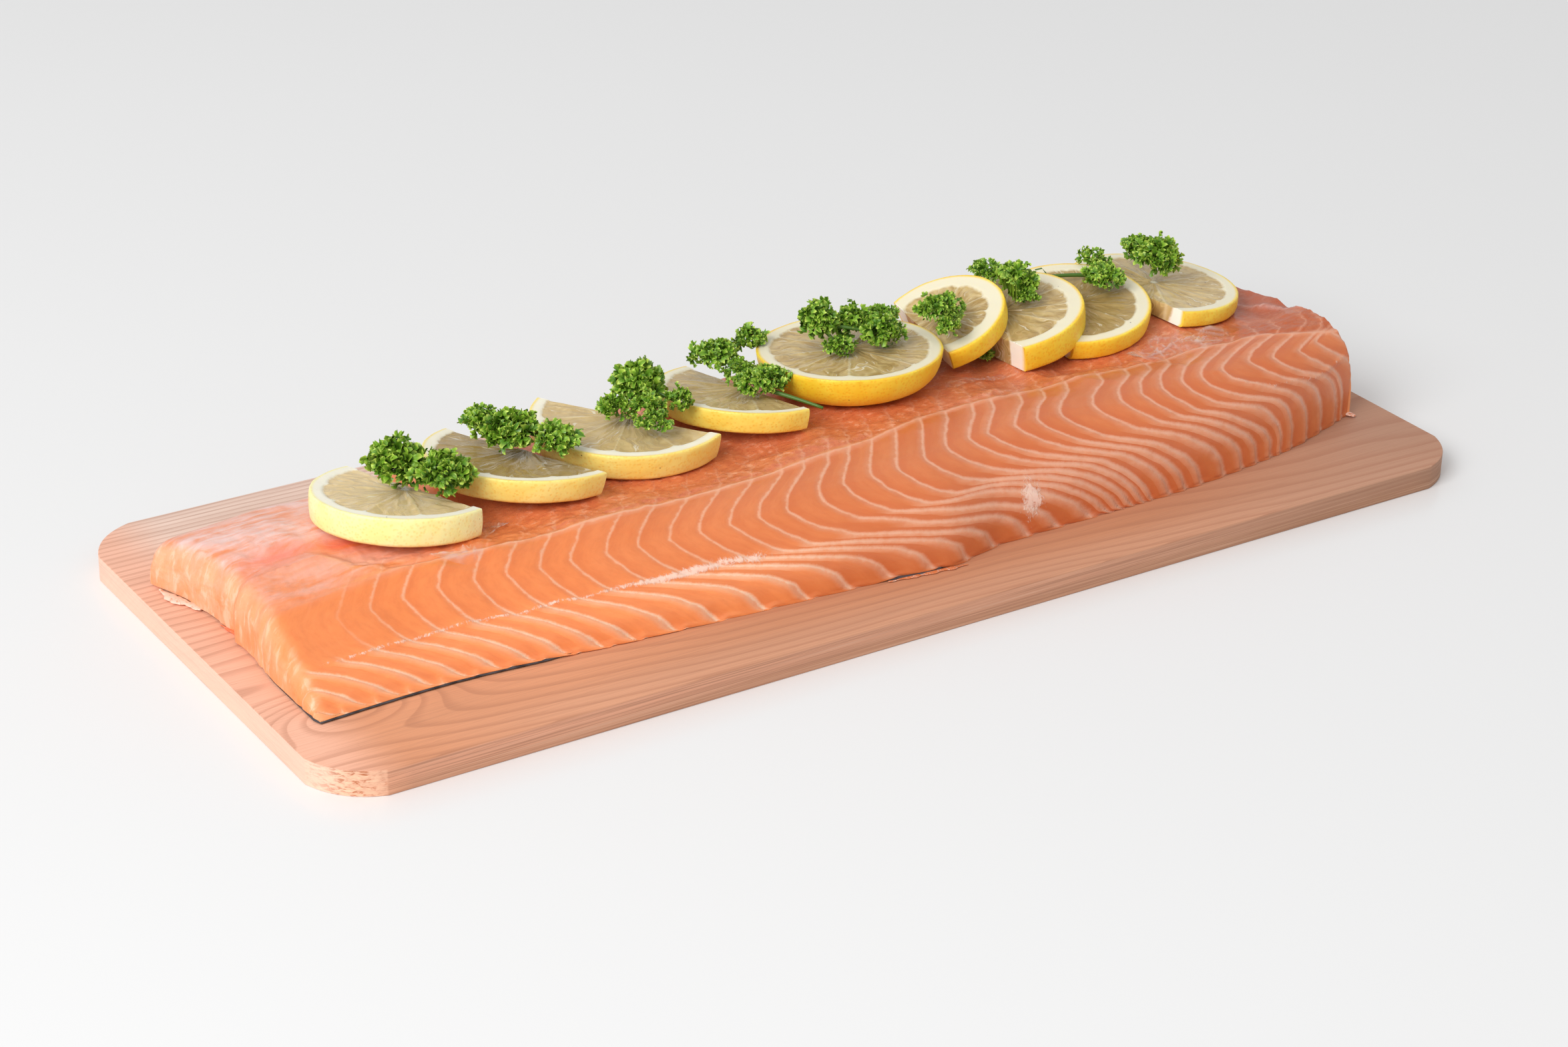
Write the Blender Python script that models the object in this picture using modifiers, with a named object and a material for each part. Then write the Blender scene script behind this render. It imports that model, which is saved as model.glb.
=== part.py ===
"""Cedar plank salmon: a side of raw salmon on a cedar grilling plank, with lemon slices and curly parsley.

The plank lies flat with its underside at z = 0 and its middle at the origin. Its length runs along X, and the
near side of the fish, where the belly edge is thin, faces -Y. Run it in Blender 4.5; all lengths are metres.
"""

import math

import bmesh
import bpy
import numpy as np
from mathutils import Matrix, Vector, noise

MM = 0.001
GAP = 0.3 * MM  # air left between two pieces that touch
SHARP_ANGLE = math.radians(40)

# The plank, whose corners are cut back and rounded off.
PLANK_LENGTH = 410 * MM
PLANK_WIDTH = 174 * MM
PLANK_THICKNESS = 8.2 * MM
CORNER_CUT = 17 * MM
CORNER_BULGE = 3.2 * MM
CORNER_STEPS = 6

# The fillet, as seen from above: its near and far edges, and how far its cut left end bows.
NEAR_EDGE = [(-200, -56), (-155, -54), (-90, -59), (-15, -64), (12, -66.5),
             (37, -62), (100, -61), (150, -55.5), (192, -43)]
FAR_EDGE = [(-200, 43), (-165, 50), (0, 54), (130, 50), (192, 36)]
LEFT_END_BOW = [(-60, 0), (-30, 0), (3, 2.5), (28, 0), (45, -5.5)]
FILLET_LEFT = -193 * MM
FILLET_RIGHT = 190 * MM
THIN_END_HEIGHT = 19.5 * MM
THICK_END_HEIGHT = 30 * MM
SKIN_THICKNESS = 1 * MM
SKIN_STEPS = 24
EDGE_THICKNESS = 0.8 * MM  # the flesh is never thinner than this

# The muscle bands: V-shaped, one every BAND_PITCH along the fish. Each row of BANDS holds, at one place x along
# the fish, the height up the side of the V's tip, how far its lower arm trails, and where and how fast it bends.
BAND_PITCH = 9.8 * MM
BAND_GROOVE = 0.5 * MM
BANDS = [(-120, 30, 40, 9, 5), (-40, 30, 66, 13.5, 2.6), (0, 36, 62, 18, 2.6),
         (45, 38, 49, 19.5, 3.5), (110, 37, 38, 18.5, 3.3), (150, 36, 22, 27, 3)]
COLUMNS_PER_BAND = 3
SIDE_ROWS = 16
BACK_ROWS = 9

# The clear film under the lemon: its wavy near edge, from above.
FILM_NEAR = [(-158, 20), (-150, 0), (-138, -16), (-127, -23), (-117, -12), (-95, -6), (20, -4), (60, -7),
             (100, -3), (117, -8), (127, -28), (143, -28), (158, -15), (172, 12)]
FILM_FAR = 36 * MM
FILM_THICKNESS = 0.4 * MM
FILM_AIR = 0.6 * MM  # between the film and what is under or over it
FILM_CELL = 5.2 * MM
FILM_ROWS = 5

# The lemon slices. Each lies on the plane z = height + slope_x * (x - x0) + slope_y * (y - y0), in mm. The cut
# runs through the slice at the angle given, at that distance from its centre, and keeps the side named.
SLICES = {
    "lemon_slice_1": dict(at=(-131.5, 11.5, 28), slope=(-0.10, -0.10), radius=28.4, thick=8.7, taper=0.4,
                          angle=108, cut=3.4, keep="left"),
    "lemon_slice_2": dict(at=(-87, 17.7, 29.2), slope=(-0.10, -0.10), radius=32, thick=7.6, taper=1.9,
                          angle=111, cut=-1.2, keep="left"),
    "lemon_slice_3": dict(at=(-49, 20, 30.7), slope=(0, 0), radius=31.5, thick=8.5, taper=1.6,
                          angle=124, cut=-1.2, keep="left"),
    "lemon_slice_4": dict(at=(-7.6, 18.6, 32.2), slope=(-0.10, -0.10), radius=29, thick=6.9, taper=1.1,
                          angle=100, cut=0, keep="left"),
    "lemon_slice_6": dict(at=(71.5, 20.7, 39.6), slope=(0.42, 0), radius=21.5, thick=7.6, taper=1.4,
                          angle=81, cut=-7.7, keep="right"),
    "lemon_slice_7": dict(at=(92.4, 17.1, 35.9), slope=(0.20, 0), radius=26.8, thick=9.4, taper=0.7,
                          angle=95, cut=-11.5, keep="right"),
    "lemon_slice_8": dict(at=(117.8, 15, 36.6), slope=(0.10, 0.10), radius=26.1, thick=7, taper=1,
                          angle=92, cut=-16, keep="right"),
    "lemon_slice_9": dict(at=(153.3, 17.5, 36.4), slope=(-0.10, 0), radius=28.8, thick=5.6, taper=0.4,
                          angle=97, cut=-12, keep="right"),
}
LEMON_END = dict(at=(30.2, 16.1, 33.4), slope=(0, -0.06))
LEMON_END_PROFILE = [(29.9, 12), (29.4, 9.5), (28, 6), (25.2, 2.8), (21, 0.7), (16, 0)]  # radius, height
SLICE_SEGMENTS = 32
RESTS_ON = {"lemon_slice_6": "lemon_slice_7", "lemon_slice_7": "lemon_slice_8", "lemon_slice_8": "lemon_slice_9"}
STANDS_CLEAR = "lemon_slice_6"  # propped on its neighbour, so it presses nothing
BED_MARGIN = 4 * MM  # the bed stays flat this far round each slice, and eases out over BED_BLEND
BED_BLEND = 22 * MM
BED_DOWN = 3.6 * MM
BED_UP = 1.7 * MM

# The parsley. Each clump is its centre and its half width, half depth and half height, in mm.
SPRIGS = {
    "parsley_1": [(-132.4, 13.5, 44.5, 9.9, 9.5, 9.9), (-123.2, 2.4, 43.4, 11, 9, 8)],
    "parsley_2": [(-94.1, 31, 42.5, 7, 8.5, 6), (-92.1, 17.2, 43.6, 9.7, 9, 8.5), (-82.6, 7, 42.8, 8.5, 8.5, 6.6)],
    "parsley_3": [(-45.5, 20.6, 47.5, 9.5, 9, 9.7), (-57.4, 15.1, 44.8, 6, 6, 6), (-51.3, 2.4, 43.4, 7, 6, 5),
                  (-38, 9.1, 44.6, 5, 5, 6)],
    "parsley_4": [(-8.8, 34.7, 44.2, 9, 8, 6.5), (-7.9, 10.1, 44, 11.5, 8, 6), (5.6, 37.5, 45.2, 6.5, 6, 6),
                  (-7, 23, 43, 7, 9, 4.5)],
    "parsley_5": [(21.7, 22.1, 52.9, 7.7, 7.5, 9), (33.7, 20, 51.5, 7.5, 6.5, 7.6), (36.9, 10.6, 51, 7.6, 7, 7),
                  (49, 27, 48.5, 8, 6, 4.5)],
    "parsley_6": [(62.4, 12.4, 53, 9.5, 8, 6), (59.5, 4.6, 50, 5, 5, 5.2)],
    "parsley_7": [(97.5, 19, 52.5, 7.5, 8, 8.5), (97.5, 35, 51, 6, 8, 4.5)],
    "parsley_8": [(128.6, 13.8, 49.6, 8.8, 8, 6), (138.5, 31, 48.4, 6, 8.5, 4)],
    "parsley_9": [(154.9, 16.3, 50, 8.4, 8, 9), (158, 31, 47.5, 6.4, 8.5, 6)],
}
LEAFLET_RADIUS = 6 * MM
LEAFLET_THICKNESS = 0.8 * MM
LEAFLET_SIDES = 8
MOST_LEAFLETS = 2  # in a sprig, beside its lumpy clumps
STEMS = {"parsley_4": ((-7, 8, 41.5), (6, -10.5, 39.2)), "parsley_8": ((131, 22, 46.5), (113, 30, 46.8))}
STEM_RADIUS = 1 * MM


def smooth_through(points, at):
    """A smooth curve through hand-set points (in mm), read at metres, that never swings past them."""
    x, y = np.array(points, float).T * MM
    step = np.diff(x)
    rise = np.diff(y) / step
    slope = np.concatenate([rise[:1], np.zeros(len(x) - 2), rise[-1:]])
    together = rise[:-1] * rise[1:] > 0
    mean = 2 * rise[:-1] * rise[1:] / np.where(together, rise[:-1] + rise[1:], 1)
    slope[1:-1] = np.where(together, mean, 0)
    at = np.clip(at, x[0], x[-1])
    i = np.clip(np.searchsorted(x, at) - 1, 0, len(step) - 1)
    t = (at - x[i]) / step[i]
    start = (1 + 2 * t) * (1 - t) ** 2 * y[i] + t * (1 - t) ** 2 * step[i] * slope[i]
    end = t * t * (3 - 2 * t) * y[i + 1] + t * t * (t - 1) * step[i] * slope[i + 1]
    return start + end


def ease(low, high, value):
    """0 below low, 1 above high, and a smooth rise between them."""
    t = np.clip((value - low) / (high - low), 0, 1)
    return t * t * (3 - 2 * t)


def along_fish(x):
    """0 at the fillet's left end and 1 at its right end."""
    return np.clip((x - FILLET_LEFT) / (FILLET_RIGHT - FILLET_LEFT), 0, 1)


def dome_height(x, y):
    """The fillet's plain rounded form over the plank, higher toward the right end."""
    along = along_fish(x)
    crown = THIN_END_HEIGHT + (THICK_END_HEIGHT - THIN_END_HEIGHT) * ease(-200 * MM, 170 * MM, x)
    near_width = (36 - 8 * along) * MM
    near_power = 1.25 + 2.4 * along ** 1.2
    from_near = np.clip(1 - (y - smooth_through(NEAR_EDGE, x)) / near_width, 0, 1)
    from_far = np.clip(1 - (smooth_through(FAR_EDGE, x) - y) / (55 * MM), 0, 1)
    near_rise = (1 - from_near ** near_power) ** (1 / near_power)
    far_rise = 0.6 + 0.4 * (1 - from_far ** 2.2) ** (1 / 2.2)
    left_rounding = 1 - 0.12 * np.exp(-np.clip(x - FILLET_LEFT, 0, None) / (2.5 * MM))
    return crown * near_rise * far_rise * left_rounding


def bare_height(x, y):
    """The dome with its groove along the spine, before anything is laid on it: broad and shallow under the film."""
    from_spine = (y + (1 + 10 * along_fish(x)) * MM) / MM
    covered = under_film(x, y)
    narrow = 2.5 * MM * np.exp(-((from_spine / 4) ** 2))
    broad = 1.2 * MM * np.exp(-((from_spine / 16) ** 2))
    return dome_height(x, y) - narrow * (1 - covered) - broad * covered


def slice_frame(spec):
    """The origin and the three directions of a slice: across its cut, along its cut and out of its face."""
    slope_x, slope_y = spec["slope"]
    out = Vector((-slope_x, -slope_y, 1)).normalized()
    angle = math.radians(spec.get("angle", 90))
    along = Vector((math.cos(angle), math.sin(angle), 0))
    along = (along - out * along.dot(out)).normalized()
    return Vector(spec["at"]) * MM, along.cross(out), along, out


def slice_matrix(spec):
    origin, across, along, out = slice_frame(spec)
    turn = Matrix((across, along, out)).transposed().to_4x4()
    return Matrix.Translation(origin) @ turn


def slice_plane(spec, x, y):
    """The height of the plane that a slice lies on."""
    x0, y0, z0 = (value * MM for value in spec["at"])
    return z0 + spec["slope"][0] * (x - x0) + spec["slope"][1] * (y - y0)


def outside_slice(spec, x, y):
    """How far a point lies outside a slice's outline, seen from above: negative or 0 under the slice."""
    x0, y0, _ = (value * MM for value in spec["at"])
    outside = np.hypot(x - x0, y - y0) - spec.get("radius", LEMON_END_PROFILE[0][0]) * MM
    if "cut" in spec:
        angle = math.radians(spec["angle"])
        beyond = (x - x0) * math.sin(angle) - (y - y0) * math.cos(angle) - spec["cut"] * MM
        outside = np.maximum(outside, beyond if spec["keep"] == "left" else -beyond)
    return outside


def bed_height(x, y):
    """The surface that the lemon rests on: the bare fillet, eased to lie flat under every slice.

    Each slice presses the flesh down to its own plane, or lets it swell up to that plane by a little.
    """
    bare = PLANK_THICKNESS + bare_height(x, y)
    pressed = np.zeros_like(bare)
    swollen = np.full_like(bare, BED_UP)
    covered = np.zeros_like(bare)
    lying = [spec for name, spec in SLICES.items() if name != STANDS_CLEAR]
    for spec in [*lying, LEMON_END]:
        weight = 1 - ease(BED_MARGIN, BED_MARGIN + BED_BLEND, outside_slice(spec, x, y))
        above_bare = slice_plane(spec, x, y) - bare
        pressed = np.maximum(pressed, weight * np.clip(-above_bare, 0, BED_DOWN))
        swollen = np.minimum(swollen, BED_UP + weight * (np.clip(above_bare, 0, BED_UP) - BED_UP))
        covered = np.maximum(covered, weight)
    swollen = swollen * (1 - ease(FILM_FAR - 24 * MM, FILM_FAR + 10 * MM, y))
    return bare + swollen * covered - pressed


def under_film(x, y):
    """1 where film or lemon lies on the flesh, easing to 0 past their edges."""
    ends = np.maximum(FILM_NEAR[0][0] * MM - x, x - FILM_NEAR[-1][0] * MM)
    outside = np.maximum(np.maximum(smooth_through(FILM_NEAR, x) - y, y - FILM_FAR), ends)
    for spec in [*SLICES.values(), LEMON_END]:
        outside = np.minimum(outside, np.maximum(outside_slice(spec, x, y), y - FILM_FAR))
    return 1 - ease(3 * MM, 9 * MM, outside)


def flesh_height(x, y):
    """The top of the flesh: the bed, less the room that the film takes."""
    room = 2 * FILM_AIR + FILM_THICKNESS
    height = bed_height(x, y) - room * under_film(x, y)
    lowest = PLANK_THICKNESS + 2 * GAP + SKIN_THICKNESS + 2 * EDGE_THICKNESS
    return np.maximum(height, lowest)


def band_phase(x, side):
    """Which muscle band a point is in: whole numbers are the fat lines. side is the way up from the near edge."""
    columns = np.array(BANDS, float).T
    tip, trail, bend, width = (np.interp(x, columns[0] * MM, column * MM) for column in columns[1:])
    lower = trail / (1 + np.exp(np.clip((side - bend) / width, -30, 30)))
    upper = 0.45 * MM * (np.clip(side - tip, 0, None) / MM) ** 1.25
    return (x - lower - upper) / BAND_PITCH


def new_object(name, bm, collection, material=None):
    mesh = bpy.data.meshes.new(name)
    bmesh.ops.recalc_face_normals(bm, faces=bm.faces)
    bm.to_mesh(mesh)
    bm.free()
    obj = bpy.data.objects.new(name, mesh)
    collection.objects.link(obj)
    if material:
        mesh.materials.append(material)
        mesh.shade_smooth()
        mesh.set_sharp_from_angle(angle=SHARP_ANGLE)
    return obj


def add_material(name, colour, roughness, transmission=0.0):
    material = bpy.data.materials.new(name)
    material.use_nodes = True
    shader = material.node_tree.nodes["Principled BSDF"]
    shader.inputs["Base Color"].default_value = (*colour, 1)
    shader.inputs["Roughness"].default_value = roughness
    shader.inputs["Metallic"].default_value = 0
    shader.inputs["Transmission Weight"].default_value = transmission
    return material


def evaluated_copy(obj):
    graph = bpy.context.evaluated_depsgraph_get()
    return bpy.data.meshes.new_from_object(obj.evaluated_get(graph))


def add_plank(collection, material):
    """The plank: a flat outline whose four corners are cut off along bowed lines, given its thickness."""
    outline = []
    for turn in range(4):
        sign_x, sign_y = [(1, 1), (-1, 1), (-1, -1), (1, -1)][turn]
        corner = Vector((sign_x * PLANK_LENGTH / 2, sign_y * PLANK_WIDTH / 2))
        ends = [corner - Vector((0, sign_y * CORNER_CUT)), corner - Vector((sign_x * CORNER_CUT, 0))]
        if turn % 2:
            ends.reverse()
        outward = Vector((sign_x, sign_y)).normalized()
        for step in range(CORNER_STEPS + 1):
            t = step / CORNER_STEPS
            bulge = CORNER_BULGE * 4 * t * (1 - t)
            outline.append(ends[0].lerp(ends[1], t) + outward * bulge)
    bm = bmesh.new()
    face = bm.faces.new([bm.verts.new((p.x, p.y, 0)) for p in outline])
    raised = bmesh.ops.extrude_face_region(bm, geom=[face])["geom"]
    top = [item for item in raised if isinstance(item, bmesh.types.BMVert)]
    bmesh.ops.translate(bm, verts=top, vec=(0, 0, PLANK_THICKNESS))
    return new_object("cedar_plank", bm, collection, material)


def drop_to(bm, bottom):
    """Closes an open sheet into a solid: its rim goes straight down to a flat bottom."""
    rim = [edge for edge in bm.edges if edge.is_boundary]
    lowered = bmesh.ops.extrude_edge_only(bm, edges=rim)["geom"]
    for vert in lowered:
        if isinstance(vert, bmesh.types.BMVert):
            vert.co.z = bottom
    bmesh.ops.holes_fill(bm, edges=[edge for edge in bm.edges if edge.is_boundary])


def section_rows():
    """Where the rows of the fillet's surface lie, as a share of the way over it: close up the side and far edge."""
    side = np.linspace(0, 0.5, SIDE_ROWS + 1)
    back = 1 - 0.5 * (1 - np.linspace(0, 1, BACK_ROWS + 1)) ** 1.2
    return np.concatenate([side, back[1:]])


def fillet_surface(columns):
    """The points (x, y, z) of the fillet's upper surface, by column along the fish and row over it."""
    near = smooth_through(NEAR_EDGE, columns)
    far = smooth_through(FAR_EDGE, columns)
    fine = np.concatenate([np.linspace(0, 0.35, 160) ** 2 / 0.35, np.linspace(0.35, 1, 160)[1:]])
    y = near[:, None] + (far - near)[:, None] * fine
    dome = dome_height(np.broadcast_to(columns[:, None], y.shape), y)
    way = np.hypot(np.diff(y), np.diff(dome)).cumsum(axis=1)
    way = np.concatenate([np.zeros((len(columns), 1)), way], axis=1)
    surface = []
    for i, column in enumerate(columns):
        at = section_rows() * way[i, -1]
        row_y = np.interp(at, way[i], y[i])
        row_z = flesh_height(np.full_like(row_y, column), row_y)
        tilt = np.arctan2(np.gradient(row_z), np.gradient(row_y))
        groove = BAND_GROOVE * (np.abs(np.sin(math.pi * band_phase(column, at))) ** 0.7 - 0.6)
        shown = ease(2 * MM, 9 * MM, at) * ease(60 * MM, 50 * MM, at) * (1 - under_film(column, row_y))
        row_y = row_y - groove * shown * np.sin(tilt)
        row_z = row_z + groove * shown * np.cos(tilt)
        bow = smooth_through(LEFT_END_BOW, row_y) * (1 - ease(0, 30 * MM, column - FILLET_LEFT))
        surface.append(np.stack([column + bow, row_y, row_z], axis=1))
    return np.array(surface)


def add_flesh(collection, material):
    """The raw flesh: a sheet laid over the fillet's surface, closed down to the skin."""
    count = round((FILLET_RIGHT - FILLET_LEFT) / BAND_PITCH * COLUMNS_PER_BAND)
    columns = np.linspace(FILLET_LEFT, FILLET_RIGHT, count + 1)
    surface = fillet_surface(columns)
    rows = SIDE_ROWS + BACK_ROWS
    bm = bmesh.new()
    bmesh.ops.create_grid(bm, x_segments=count, y_segments=rows, size=0.5)
    for vert in bm.verts:
        column = round((vert.co.x + 0.5) * count)
        row = round((vert.co.y + 0.5) * rows)
        vert.co = surface[column, row]
    drop_to(bm, PLANK_THICKNESS + 2 * GAP + SKIN_THICKNESS)
    bmesh.ops.triangulate(bm, faces=bm.faces)
    return new_object("salmon_flesh", bm, collection, material)


def add_skin(collection, material):
    """The dark skin between flesh and plank, a thin flat layer of the fillet's outline."""
    columns = np.linspace(FILLET_LEFT, FILLET_RIGHT - 0.5 * MM, SKIN_STEPS + 1)
    near = smooth_through(NEAR_EDGE, columns) - 0.4 * MM
    far = smooth_through(FAR_EDGE, columns) - 0.6 * MM
    left_y = np.linspace(near[0], far[0], 9)[1:-1]
    left_x = FILLET_LEFT + smooth_through(LEFT_END_BOW, left_y) - 0.3 * MM
    outline = [*zip(columns, near), *zip(columns[::-1], far[::-1]), *zip(left_x[::-1], left_y[::-1])]
    bm = bmesh.new()
    face = bm.faces.new([bm.verts.new((x, y, PLANK_THICKNESS + GAP)) for x, y in outline])
    raised = bmesh.ops.extrude_face_region(bm, geom=[face])["geom"]
    top = [item for item in raised if isinstance(item, bmesh.types.BMVert)]
    bmesh.ops.translate(bm, verts=top, vec=(0, 0, SKIN_THICKNESS))
    return new_object("salmon_skin", bm, collection, material)


def add_film(collection, material):
    """The clear film: a sheet that follows the bed under the lemon, made solid by its own thickness."""
    left, right = FILM_NEAR[0][0] * MM, FILM_NEAR[-1][0] * MM
    count = round((right - left) / FILM_CELL)
    bm = bmesh.new()
    bmesh.ops.create_grid(bm, x_segments=count, y_segments=FILM_ROWS, size=0.5)
    for vert in bm.verts:
        x = left + (right - left) * (vert.co.x + 0.5)
        near = float(smooth_through(FILM_NEAR, np.array([x]))[0])
        y = near + (FILM_FAR - near) * (vert.co.y + 0.5)
        z = float(bed_height(np.array([x]), np.array([y]))[0]) - FILM_AIR
        vert.co = (x, y, z)
    bmesh.ops.triangulate(bm, faces=bm.faces)
    upper = list(bm.faces)
    copied = bmesh.ops.duplicate(bm, geom=[*bm.verts, *bm.edges, *bm.faces])
    for item in copied["geom"]:
        if isinstance(item, bmesh.types.BMVert):
            item.co.z -= FILM_THICKNESS
    lower = [item for item in copied["geom"] if isinstance(item, bmesh.types.BMFace)]
    bmesh.ops.reverse_faces(bm, faces=lower if upper[0].normal.z > 0 else upper)
    bmesh.ops.bridge_loops(bm, edges=[edge for edge in bm.edges if edge.is_boundary])
    return new_object("clear_film", bm, collection, material)


def add_slice(name, spec, collection, material, grow=0.0):
    """A lemon slice: a short cone cut straight across, or grown all round to be a cutter."""
    radius = spec["radius"] * MM + grow
    thick = spec["thick"] * MM + 2 * grow
    bm = bmesh.new()
    bmesh.ops.create_cone(bm, cap_ends=True, segments=SLICE_SEGMENTS, radius1=radius - spec["taper"] * MM,
                          radius2=radius, depth=thick)
    bmesh.ops.translate(bm, verts=bm.verts, vec=(0, 0, thick / 2 - grow))
    side = 1 if spec["keep"] == "left" else -1
    cut = spec["cut"] * MM + side * grow
    bmesh.ops.bisect_plane(bm, geom=[*bm.verts, *bm.edges, *bm.faces], plane_co=(cut, 0, 0),
                           plane_no=(side, 0, 0), clear_outer=True)
    bmesh.ops.holes_fill(bm, edges=[edge for edge in bm.edges if edge.is_boundary])
    obj = new_object(name, bm, collection, material)
    obj.matrix_world = slice_matrix(spec)
    return obj


def add_lemon_end(name, collection, material, grow=0.0):
    """The thick end piece of the lemon: a turned profile, cut face up, whose round base is flattened."""
    top_radius, top_height = LEMON_END_PROFILE[0]
    points = [(0, top_height * MM + grow), (top_radius * MM + grow, top_height * MM + grow)]
    points += [(radius * MM + grow, height * MM) for radius, height in LEMON_END_PROFILE[1:-1]]
    points += [(LEMON_END_PROFILE[-1][0] * MM + grow, -grow), (0, -grow)]
    bm = bmesh.new()
    verts = [bm.verts.new((radius, 0, height)) for radius, height in points]
    for first, second in zip(verts, verts[1:]):
        bm.edges.new((first, second))
    bmesh.ops.spin(bm, geom=[*bm.verts, *bm.edges], cent=(0, 0, 0), axis=(0, 0, 1),
                   angle=2 * math.pi, steps=SLICE_SEGMENTS, use_merge=True)
    bmesh.ops.remove_doubles(bm, verts=bm.verts, dist=0.01 * MM)
    obj = new_object(name, bm, collection, material)
    obj.matrix_world = slice_matrix(LEMON_END)
    return obj


def add_boolean(obj, name, operation, *, cutter=None, group=None):
    modifier = obj.modifiers.new(name, "BOOLEAN")
    modifier.operation = operation
    if group:
        modifier.operand_type = "COLLECTION"
        modifier.collection = group
    else:
        modifier.object = cutter
    return modifier


def add_lemons(collection, cutters, material):
    """All nine pieces of lemon, and a grown copy of each that clears its room in what lies against it."""
    lemons = {}
    for name, spec in SLICES.items():
        lemons[name] = add_slice(name, spec, collection, material)
        add_slice(name + "_room", spec, cutters, None, grow=1.2 * GAP)
    lemons["lemon_slice_5"] = add_lemon_end("lemon_slice_5", collection, material)
    add_lemon_end("lemon_slice_5_room", cutters, None, grow=1.2 * GAP)
    for name, under in RESTS_ON.items():
        add_boolean(lemons[name], "rests on " + under, "DIFFERENCE", cutter=cutters.objects[under + "_room"])
    return lemons


def leaflet(collection, place, heading, radius, seed):
    """One leaflet: a small disc ruffled round its rim, both of its faces cut into like triangles."""
    bm = bmesh.new()
    bmesh.ops.create_circle(bm, cap_ends=True, cap_tris=True, segments=LEAFLET_SIDES, radius=radius)
    for vert in bm.verts:
        reach = vert.co.length / radius
        turn = math.atan2(vert.co.y, vert.co.x)
        lobed = 1 - 0.2 * reach * math.cos(2 * turn + seed)
        vert.co = Vector((vert.co.x * lobed, vert.co.y * lobed, 0.28 * radius * reach * math.sin(4 * turn + 0.6)))
    obj = new_object("leaflet", bm, collection)
    obj.matrix_world = Matrix.Translation(place) @ heading.to_track_quat("Z", "Y").to_matrix().to_4x4()
    thickness = obj.modifiers.new("leaf thickness", "SOLIDIFY")
    thickness.thickness = LEAFLET_THICKNESS
    thickness.offset = 0
    return obj


def drop_scraps(bm):
    """Keeps the largest body of a mesh, and drops the scraps that a cut left loose beside it."""
    bodies = []
    waiting = set(bm.verts)
    while waiting:
        front = [waiting.pop()]
        body = list(front)
        while front:
            linked = {edge.other_vert(vert) for vert in front for edge in vert.link_edges} & waiting
            waiting -= linked
            front = list(linked)
            body += front
        bodies.append(body)
    bodies.sort(key=len)
    bmesh.ops.delete(bm, geom=[vert for body in bodies[:-1] for vert in body], context="VERTS")


def clump_core(collection, clump, seed):
    """The packed middle of a clump of curly leaves: a lumpy ball."""
    centre, half = Vector(clump[:3]) * MM, Vector(clump[3:]) * MM
    bm = bmesh.new()
    bmesh.ops.create_icosphere(bm, subdivisions=2, radius=1)
    for vert in bm.verts:
        lump = 0.86 + 0.3 * noise.noise(vert.co * 2.3 + Vector((seed, 0, 0)))
        vert.co = Vector((vert.co.x * half.x, vert.co.y * half.y, vert.co.z * half.z)) * lump
    obj = new_object("core", bm, collection)
    obj.location = centre
    return obj


def stem(collection, start, end):
    start, end = Vector(start) * MM, Vector(end) * MM
    bm = bmesh.new()
    bmesh.ops.create_cone(bm, cap_ends=True, segments=6, radius1=STEM_RADIUS, radius2=STEM_RADIUS,
                          depth=(end - start).length)
    obj = new_object("stem", bm, collection)
    turn = (end - start).to_track_quat("Z", "Y").to_matrix().to_4x4()
    obj.matrix_world = Matrix.Translation((start + end) / 2) @ turn
    return obj


def add_sprig(name, clumps, number, collection, clearance, material):
    """A sprig of curly parsley: lumpy cores and the leaflets that stand out of them, joined into one body."""
    pieces = bpy.data.collections.new(name + "_pieces")
    bpy.context.scene.collection.children.link(pieces)
    random = np.random.default_rng(number)
    parts = [clump_core(pieces, clump, 7 * number + i) for i, clump in enumerate(clumps)]
    for i, clump in enumerate(clumps[:MOST_LEAFLETS]):
        centre, half = Vector(clump[:3]) * MM, Vector(clump[3:]) * MM
        turn = random.uniform(0, 2 * math.pi)
        out = Vector((math.cos(turn), math.sin(turn), 0.5 + 0.5 * (i % 2))).normalized()
        place = centre + Vector((out.x * half.x, out.y * half.y, out.z * half.z)) * 0.78
        side = out.cross(Vector((0, 0, 1))).normalized()
        radius = LEAFLET_RADIUS * random.uniform(0.8, 1.1)
        parts.append(leaflet(pieces, place, (out * 0.5 + side).normalized(), radius, random.uniform(0, 6)))
    for clump in clumps[1:]:
        parts.append(stem(pieces, clumps[0][:3], clump[:3]))
    if name in STEMS:
        parts.append(stem(pieces, *STEMS[name]))
    first = parts[0]
    others = bpy.data.collections.new(name + "_joined")
    for piece in parts[1:]:
        others.objects.link(piece)
    bpy.context.view_layer.update()
    add_boolean(first, "join", "UNION", group=others)
    add_boolean(first, "clear of the lemon", "DIFFERENCE", group=clearance)
    bm = bmesh.new()
    bm.from_mesh(evaluated_copy(first))
    bm.transform(first.matrix_world)
    drop_scraps(bm)
    bpy.data.collections.remove(others)
    for piece in parts:
        bpy.data.objects.remove(piece)
    bpy.data.collections.remove(pieces)
    return new_object(name, bm, collection, material)


def add_floor_cutter(name, spec, cutters):
    """A block below the top face of a slice, so that a sprig on it is flat underneath."""
    size = 130 * MM
    bm = bmesh.new()
    bmesh.ops.create_cube(bm, size=size)
    height = spec["thick"] * MM if "thick" in spec else LEMON_END_PROFILE[0][1] * MM
    bmesh.ops.translate(bm, verts=bm.verts, vec=(0, 0, height + 1.2 * GAP - size / 2))
    block = new_object(name, bm, cutters)
    block.matrix_world = slice_matrix(spec)
    return block


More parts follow.
